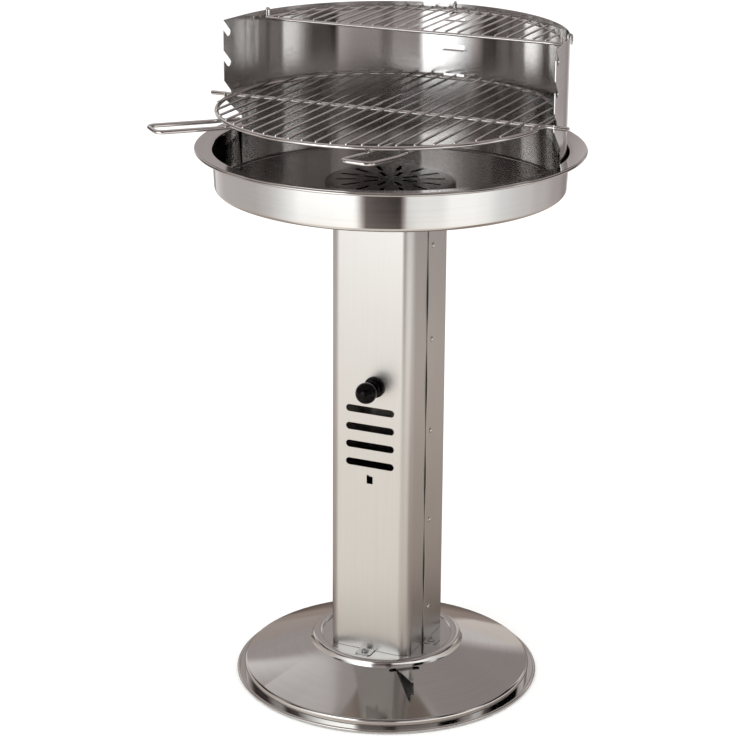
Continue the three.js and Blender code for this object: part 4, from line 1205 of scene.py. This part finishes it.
class GRILL_OT_cooking_grate(PieceOperator, bpy.types.Operator):
    """Welded wire grate with its crossbar and two formed handles"""

    bl_idname = "grill.cooking_grate"
    bl_label = "Cooking grate"

    def execute(self, context):
        low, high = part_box("cooking_grate")
        rim_radius = (high.y - low.y) / 2 - RIM_WIRE
        height = low.z + RIM_WIRE
        circle = arc(GRATE.x, GRATE.y, rim_radius, rim_radius, 0, 2 * math.pi, TURNED_SIDES)[:-1]
        rim = [Vector((x, y, height)) for x, y in circle]
        shares = [k / ROD_STEPS for k in range(ROD_STEPS + 1)]
        bar_y = AXIS.y - CROSSBAR_AHEAD
        crossbar = [Vector((low.x + (high.x - low.x) * share, bar_y, height)) for share in shares]
        top = height + RIM_WIRE + BAR_WIRE - WELD_SINK
        wires = [wire_mesh(rim, RIM_WIRE, closed=True), wire_mesh(crossbar, RIM_WIRE)]
        wires += bars(rim_radius, BAR_PITCH, BAR_WIRE, BAR_OVERHANG, top, GRATE - AXIS)
        piece = new_piece("cooking_grate_wires", *gathered(wires))
        finished(piece, finish("chrome_wire"), "cooking_grate", "chrome_wire", "cooking_grate")
        under = height - 2 * RIM_WIRE - FIT
        for node, turn, offset, length, rise in HANDLES:
            self.handle(node, turn, offset, length, rise, under, rim_radius)
        return {"FINISHED"}

    def handle(self, node, turn, offset, length, rise, under, rim_radius):
        """A U of wire that starts under the rim and rises to its grip."""
        left, right = offset - HANDLE_WIDTH / 2, offset + HANDLE_WIDTH / 2
        grip = -rim_radius - length
        near, far = max(abs(offset) - HANDLE_WIDTH / 2, 0), abs(offset) + HANDLE_WIDTH / 2
        inner = HANDLE_INSIDE - math.sqrt(rim_radius ** 2 - far ** 2)
        outside = -math.sqrt(rim_radius ** 2 - near ** 2) - 2 * RIM_WIRE
        corners = [
            Vector((left, inner, under)), Vector((left, outside, under)), Vector((left, grip, under + rise)),
            Vector((right, grip, under + rise)), Vector((right, outside, under)), Vector((right, inner, under)),
        ]
        shift = Matrix.Translation((GRATE.x, GRATE.y, 0)) @ Matrix.Rotation(turn, 4, "Z")
        path = [shift @ p for p in rounded(corners, HANDLE_BEND)]
        piece = new_piece(f"{node}_wire", *wire_mesh(path, RIM_WIRE))
        finished(piece, finish("chrome_wire"), "cooking_grate", "chrome_wire", node)


class GRILL_OT_warming_rack(PieceOperator, bpy.types.Operator):
    """Half-moon rack and the three hooks that hang it on the shield's edge"""

    bl_idname = "grill.warming_rack"
    bl_label = "Warming rack"

    def execute(self, context):
        low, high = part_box("warming_rack")
        radius = high.y - AXIS.y - RACK_WIRE
        height = low.z + RACK_WIRE
        start = math.asin(RACK_CHORD / radius)
        bow = arc(0, 0, radius, radius, start, math.pi - start, TURNED_SIDES // 2)
        frame_path = [place(x, y, height) for x, y in bow]
        half = radius * math.cos(start)
        chord = [place(-half + 2 * half * k / ROD_STEPS, RACK_CHORD, height) for k in range(ROD_STEPS + 1)]
        top = height + RACK_WIRE + RACK_BAR - WELD_SINK
        wires = [wire_mesh(frame_path, RACK_WIRE), wire_mesh(chord, RACK_WIRE)]
        wires += bars(radius, RACK_PITCH, RACK_BAR, RACK_OVERHANG, top, front=RACK_CHORD)
        piece = new_piece("warming_rack_wires", *gathered(wires))
        finished(piece, finish("chrome_wire"), "warming_rack", "chrome_wire", "warming_rack")
        rear = math.acos(SHELF_OFFSET / SHIELD_RADIUS)
        for side, turn in (("right", HOOK_TURN), ("rear", rear), ("left", math.pi - HOOK_TURN)):
            self.hook(f"rack_hook_{side}", turn, radius, height)
        return {"FINISHED"}

    def hook(self, node, turn, radius, height):
        """A hook that runs under the frame, up inside the shield and over its edge."""
        under = height - RACK_WIRE - HOOK_WIRE - FIT
        inner = SHIELD_RADIUS - SHEET - FIT - HOOK_WIRE
        outer = SHIELD_RADIUS + FIT + HOOK_WIRE
        crown = (outer - inner) / 2
        centre = HOOK_TOP - HOOK_WIRE - crown
        lower = rounded([
            Vector((radius - HOOK_INSIDE, 0, under)), Vector((inner, 0, under)),
            Vector((inner, 0, centre)),
        ], HOOK_BEND)
        over = [Vector((x, 0, z)) for x, z in arc(inner + crown, centre, crown, crown, math.pi, 0)]
        path = [*lower[:-1], *over, Vector((outer, 0, SHIELD_TOP - HOOK_DROP))]
        shift = Matrix.Translation((AXIS.x, AXIS.y, 0)) @ Matrix.Rotation(turn, 4, "Z")
        piece = new_piece(f"{node}_wire", *wire_mesh([shift @ p for p in path], HOOK_WIRE))
        finished(piece, finish("chrome_wire"), "warming_rack", "chrome_wire", node)


CARRIED_FINISHES = {
    "damper_plate": "damper_steel",
    "damper_stud": "zinc_fastener",
    "damper_washer": "zinc_fastener",
    "damper_nut": "zinc_fastener",
    **{f"{end}_nut_{side}": "zinc_fastener" for end in ("foot", "bowl") for side in SCREW_SIDES},
}


class GRILL_OT_carried_nodes(PieceOperator, bpy.types.Operator):
    """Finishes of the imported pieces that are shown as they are"""

    bl_idname = "grill.carried_nodes"
    bl_label = "Damper plate and nuts"

    def execute(self, context):
        for node, name in CARRIED_FINISHES.items():
            mesh_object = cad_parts[node]
            mesh_object.data.materials.clear()
            mesh_object.data.materials.append(finish(name))
            if "nut" in node:
                change = mesh_object.modifiers.new("Worn edges", "BEVEL")
                change.width = NUT_EDGE
                change.segments = NUT_EDGE_STEPS
                change.limit_method = "ANGLE"
        return {"FINISHED"}


# Studio

# The cards form rings round the grill. Each ring has a tint and two edges (radius, height), in metres, and its
# stops give the brightness at both edges for a bearing in degrees from the camera's side, seen from above and
# growing to the viewer's right.
TENT = 1.15
CARD_RINGS = (
    ("foot_ring", "#fffaf4", (TENT, 0.0), (TENT, 0.25), (
        (-180, 0.40, 0.40), (-172, 0.40, 0.45), (-168, 0.42, 0.42), (-150, 0.42, 0.42), (-148, 0.75, 0.85),
        (-128, 0.70, 0.70), (-90, 0.62, 0.62), (-78, 0.75, 0.78), (-69, 1.1, 1.0), (-60, 1.3, 1.2),
        (-24, 1.3, 1.6), (-20, 1.2, 1.6), (-14, 1.2, 0.15), (6, 1.2, 0.05), (10, 1.2, 0.9), (16, 1.2, 1.2),
        (36, 1.4, 1.4), (50, 1.4, 1.4), (60, 1.25, 1.25), (69, 1.0, 1.0), (84, 0.86, 0.86), (101, 0.70, 0.70),
        (122, 0.65, 0.60),
        (132, 0.62, 0.55), (140, 0.45, 0.40), (150, 0.36, 0.34), (153, 0.34, 0.34), (155, 0.70, 0.70),
        (166, 0.70, 0.70), (168, 0.36, 0.36), (180, 0.40, 0.40),
    )),
    ("bowl_ring", "#ffffff", (TENT, 0.25), (TENT, 0.38), (
        (-180, 0.40, 0.45), (-172, 0.40, 0.45), (-168, 0.42, 0.42), (-150, 0.42, 0.42), (-148, 0.80, 0.85),
        (-128, 0.62, 0.62), (-90, 0.64, 0.66), (-78, 0.78, 0.82), (-69, 1.0, 1.05), (-60, 1.3, 1.45),
        (-55, 1.5, 1.8), (-24, 1.6, 1.9), (-21, 1.6, 1.9), (-18.5, 1.0, 1.2), (-16.5, 0.5, 0.5),
        (-14, 0.18, 0.2), (-8, 0.12, 0.12), (5.5, 0.05, 0.05), (7, 0.15, 0.15), (8.5, 0.55, 0.55), (10, 1.0, 1.0),
        (12, 1.1, 1.15), (20, 1.2, 1.25), (30, 1.2, 1.25), (36, 1.45, 1.5), (50, 1.45, 1.5), (60, 1.3, 1.35),
        (69, 1.0, 1.1), (84, 0.86, 0.86), (93, 0.81, 0.81), (101, 0.70, 0.70), (110, 0.68, 0.66),
        (122, 0.55, 0.50), (132, 0.50, 0.45), (142, 0.36, 0.34), (153, 0.34, 0.34), (155, 0.70, 0.70),
        (166, 0.70, 0.70), (168, 0.36, 0.36), (180, 0.40, 0.45),
    )),
    ("middle_ring", "#ffffff", (TENT, 0.38), (TENT, 0.9), (
        (-180, 0.45, 0.42), (-168, 0.44, 0.44), (-150, 0.44, 0.44), (-148, 0.85, 0.80), (-138, 0.60, 0.30),
        (-126, 0.10, 0.0), (-104, 0.10, 0.0), (-94, 0.60, 0.30), (-86, 0.60, 0.45), (-80, 0.10, 0.0),
        (-70, 0.20, 0.0), (-60, 1.2, 0.50), (-50, 1.7, 1.7), (-45, 2.0, 2.6), (-36, 2.2, 3.0), (-24, 2.2, 3.0),
        (-21, 0.5, 0.6), (-18, 0.20, 0.50), (-2, 0.10, 0.60), (1, 0.0, 0.35), (6, 0.0, 0.30), (9, 0.20, 0.50),
        (28, 0.30, 0.50), (38, 0.30, 0.70), (41, 0.0, 0.0), (54, 0.0, 0.0), (59, 0.40, 0.40),
        (66, 0.60, 0.50), (70, 0.90, 1.1), (76, 0.80, 0.90), (80, 0.20, 0.10), (88, 0.0, 0.0), (122, 0.0, 0.0),
        (126, 0.90, 0.0), (138, 1.0, 0.50), (142, 0.36, 0.34), (153, 0.34, 0.34), (155, 0.70, 0.60),
        (166, 0.70, 0.60), (168, 0.38, 0.36), (180, 0.45, 0.42),
    )),
    ("upper_ring", "#ffffff", (TENT, 0.9), (TENT, 1.5), (
        (-180, 0.42, 0.42), (-168, 0.44, 0.44), (-150, 0.44, 0.44), (-148, 0.80, 0.70), (-120, 0.30, 0.40),
        (-90, 0.15, 0.30), (-60, 0.15, 0.40), (-50, 0.40, 0.05), (-40, 0.50, 0.05), (-26, 0.50, 0.0),
        (-21, 0.0, 0.0), (10, 0.0, 0.0), (24, 0.10, 0.05), (34, 0.60, 0.10), (44, 0.60, 0.10), (50, 0.0, 0.05),
        (60, 0.20, 0.30), (100, 0.30, 0.30), (140, 0.34, 0.34), (153, 0.34, 0.34), (155, 0.60, 0.45),
        (166, 0.60, 0.45), (168, 0.36, 0.36), (180, 0.42, 0.42),
    )),
    ("high_ring", "#ffffff", (TENT, 1.5), (TENT, 2.4), (
        (-180, 0.42, 0.42), (-150, 0.42, 0.42), (-148, 0.68, 0.60), (-90, 0.45, 0.45), (-40, 0.40, 0.40),
        (-20, 0.05, 0.20), (40, 0.10, 0.20), (90, 0.32, 0.32), (180, 0.36, 0.36),
    )),
    ("ceiling", "#ffffff", (TENT, 2.4), (0.001, 2.4), ((-180, 0.42, 0.42), (180, 0.42, 0.42))),
    ("floor_outer", "#fff8ee", (0.32, 0.001), (TENT, 0.001), (
        (-180, 0.33, 0.33), (-150, 0.35, 0.35), (-148, 0.45, 0.50), (-100, 0.48, 0.56), (-76, 0.50, 0.56),
        (-66, 1.15, 0.95), (-34, 1.15, 0.95), (-26, 0.80, 0.90), (40, 0.80, 0.90), (60, 0.30, 0.40),
        (100, 0.40, 0.70), (132, 0.34, 0.58), (150, 0.30, 0.34), (180, 0.33, 0.33),
    )),
    ("floor_inner", "#fff8ee", (0.188, 0.001), (0.32, 0.001), (
        (-180, 0.20, 0.30), (-165, 0.10, 0.30), (-150, 0.02, 0.20), (-120, 0.02, 0.25), (-105, 0.20, 0.40),
        (-80, 0.40, 0.50), (-60, 0.60, 1.0), (-34, 0.80, 1.1), (-26, 0.70, 0.80), (0, 0.50, 0.70),
        (40, 0.40, 0.60), (70, 0.30, 0.30), (100, 0.20, 0.30), (120, 0.10, 0.35), (150, 0.05, 0.30),
        (165, 0.10, 0.30), (180, 0.20, 0.30),
    )),
)
CARD_STEPS = 180
DIM_CARD_TINT = "#ffe9e4"
AMBIENT_LEVEL = 1.25
FLOOR_REACH = 14.0
PAPER_ROUGHNESS = 0.9
PAPER_SHEEN = 0.1

# One lamp, in metres, watts and radians to the left of the camera
LAMP_SIZE = 1.6
LAMP_POWER = 12.0
LAMP_TURN = math.radians(40)
LAMP_DISTANCE = 2.2
LAMP_HEIGHT = 2.6
LAMP_AIM = 0.45

SENSOR_WIDTH = 36.0
CLIP_NEAR, CLIP_FAR = 0.1, 60.0


class GRILL_OT_stage(PieceOperator, bpy.types.Operator):
    """Floor, studio cards, soft light and the camera"""

    bl_idname = "grill.stage"
    bl_label = "Studio"

    def execute(self, context):
        studio = context.scene.grill_studio
        self.floor(studio)
        if studio.show_cards:
            self.cards(studio)
        self.world(context.scene)
        self.lamp(studio)
        self.camera(context.scene, studio)
        context.scene.view_settings.view_transform = "Standard"
        return {"FINISHED"}

    def floor(self, studio):
        """Matt white paper, wide enough to fill every view."""
        material, tree = blank_material("matt_white_paper")
        paper = add_node(tree, "ShaderNodeBsdfPrincipled", {
            "Base Color": (*studio.floor_colour, 1),
            "Roughness": PAPER_ROUGHNESS, "Specular IOR Level": PAPER_SHEEN,
        })["BSDF"]
        add_node(tree, "ShaderNodeOutputMaterial", {"Surface": paper})
        corners = ((-1, -1), (1, -1), (1, 1), (-1, 1))
        vertices = [Vector((x * FLOOR_REACH, y * FLOOR_REACH, -FIT)) for x, y in corners]
        floor = new_piece("studio_floor", vertices, [(0, 1, 2, 3)])
        floor.data.materials.append(material)

    def cards(self, studio):
        """A tent of graded cards, seen only in what the grill mirrors."""
        first = studio.camera_bearing - math.pi / 2
        for name, tint, low, high, stops in CARD_RINGS:
            vertices, glow, faces = [], [], []
            for k in range(CARD_STEPS + 1):
                turn = -180 + 360 * k / CARD_STEPS
                levels = self.levels(turn, stops)
                bearing = first + math.radians(turn)
                for (radius, height), level in zip((low, high), levels):
                    vertices.append(place(radius * math.cos(bearing), radius * math.sin(bearing), height))
                    glow.append(level)
            for k in range(CARD_STEPS):
                faces.append((2 * k, 2 * k + 1, 2 * k + 3, 2 * k + 2))
            card = new_piece(f"studio_{name}", vertices, faces)
            card.data.attributes.new("glow", "FLOAT", "POINT").data.foreach_set("value", glow)
            card.data.materials.append(self.card_paper(name, tint))
            card.visible_camera = False
            card.visible_diffuse = False
            card.visible_shadow = False
            card.visible_transmission = False

    def levels(self, turn, stops):
        """Brightness of both edges of a ring at a bearing."""
        for start, end in zip(stops, stops[1:]):
            if turn <= end[0]:
                share = (turn - start[0]) / (end[0] - start[0])
                return [a + (b - a) * share for a, b in zip(start[1:], end[1:])]
        return stops[-1][1:]

    def card_paper(self, name, tint):
        """A glowing card, a little warmer where it is dim."""
        material, tree = blank_material(name)
        glow = add_node(tree, "ShaderNodeAttribute", attribute_name="glow")["Fac"]
        ends = {"Factor": glow, "A": linear(DIM_CARD_TINT), "B": linear("#ffffff")}
        warmth = add_node(tree, "ShaderNodeMix", ends, data_type="RGBA")["Result"]
        factors = {0: warmth, 1: linear(tint)[:3]}
        colour = add_node(tree, "ShaderNodeVectorMath", factors, operation="MULTIPLY")[0]
        light = add_node(tree, "ShaderNodeEmission", {"Color": colour, "Strength": glow})["Emission"]
        add_node(tree, "ShaderNodeOutputMaterial", {"Surface": light})
        return material

    def world(self, scene):
        """White all round for the lens and for mirrors, and a little brighter for the matt floor."""
        world = bpy.data.worlds.new("white_studio")
        world.use_nodes = True
        tree = world.node_tree
        tree.nodes.clear()
        path = add_node(tree, "ShaderNodeLightPath")
        first_rays = {0: path["Is Camera Ray"], 1: path["Is Glossy Ray"]}
        seen = add_node(tree, "ShaderNodeMath", first_rays, operation="ADD")[0]
        seen = add_node(tree, "ShaderNodeMath", {0: seen, 1: path["Is Transmission Ray"]}, operation="ADD")[0]
        levels = {"Value": seen, "To Min": AMBIENT_LEVEL, "To Max": 1.0}
        light = add_node(tree, "ShaderNodeBackground", {
            "Color": linear("#ffffff"), "Strength": add_node(tree, "ShaderNodeMapRange", levels)["Result"],
        })["Background"]
        add_node(tree, "ShaderNodeOutputWorld", {"Surface": light})
        scene.world = world

    def lamp(self, studio):
        """One large soft lamp, high on the left, for the matt surfaces: metal sees the cards instead."""
        lamp = bpy.data.lights.new("soft_key", "AREA")
        lamp.shape = "DISK"
        lamp.size = LAMP_SIZE
        lamp.energy = LAMP_POWER
        holder = bpy.data.objects.new("soft_key", lamp)
        bearing = studio.camera_bearing - math.pi / 2 - LAMP_TURN
        holder.location = (LAMP_DISTANCE * math.cos(bearing), LAMP_DISTANCE * math.sin(bearing), LAMP_HEIGHT)
        holder.visible_glossy = False
        aim = place(0, 0, LAMP_AIM) - holder.location
        holder.rotation_euler = aim.to_track_quat("-Z", "Y").to_euler()
        bpy.context.scene.collection.objects.link(holder)

    def camera(self, scene, studio):
        """The photograph's viewpoint."""
        camera = bpy.data.cameras.new("photo_camera")
        camera.sensor_width = SENSOR_WIDTH
        camera.lens = studio.focal_length
        camera.clip_start, camera.clip_end = CLIP_NEAR, CLIP_FAR
        holder = bpy.data.objects.new("photo_camera", camera)
        bearing, distance = studio.camera_bearing, studio.camera_distance
        spot = place(distance * math.sin(bearing), -distance * math.cos(bearing), studio.camera_height)
        turn = Matrix.Rotation(bearing + studio.camera_pan, 4, "Z")
        turn @= Matrix.Rotation(math.pi / 2 - studio.camera_tilt, 4, "X")
        turn @= Matrix.Rotation(studio.camera_roll, 4, "Z")
        holder.matrix_world = Matrix.Translation(spot) @ turn
        scene.collection.objects.link(holder)
        scene.camera = holder


OPERATORS = (
    GRILL_OT_base_plate,
    GRILL_OT_column,
    GRILL_OT_fasteners,
    GRILL_OT_damper,
    GRILL_OT_fire_bowl,
    GRILL_OT_charcoal_grate,
    GRILL_OT_wind_shield,
    GRILL_OT_cooking_grate,
    GRILL_OT_warming_rack,
    GRILL_OT_carried_nodes,
    GRILL_OT_stage,
)


class GRILL_PT_panel(bpy.types.Panel):
    """Sizes, studio and pieces of the barbecue"""

    bl_idname = "GRILL_PT_panel"
    bl_label = "Pillar barbecue"
    bl_space_type = "VIEW_3D"
    bl_region_type = "UI"
    bl_category = "Barbecue"

    def draw(self, context):
        for group in (context.scene.grill_sizes, context.scene.grill_studio):
            box = self.layout.box()
            for name in group.__annotations__:
                box.prop(group, name)
        for operator in OPERATORS:
            self.layout.operator(operator.bl_idname)


CLASSES = (GRILL_PG_sizes, GRILL_PG_studio, *OPERATORS, GRILL_PT_panel)


def register():
    for one in CLASSES:
        bpy.utils.register_class(one)
    bpy.types.Scene.grill_sizes = PointerProperty(type=GRILL_PG_sizes)
    bpy.types.Scene.grill_studio = PointerProperty(type=GRILL_PG_studio)


def unregister():
    del bpy.types.Scene.grill_studio
    del bpy.types.Scene.grill_sizes
    for one in reversed(CLASSES):
        bpy.utils.unregister_class(one)


def main():
    """Builds every piece and the studio."""
    register()
    for operator in OPERATORS:
        family, name = operator.bl_idname.split(".")
        getattr(getattr(bpy.ops, family), name)()


if __name__ == "__main__":
    main()
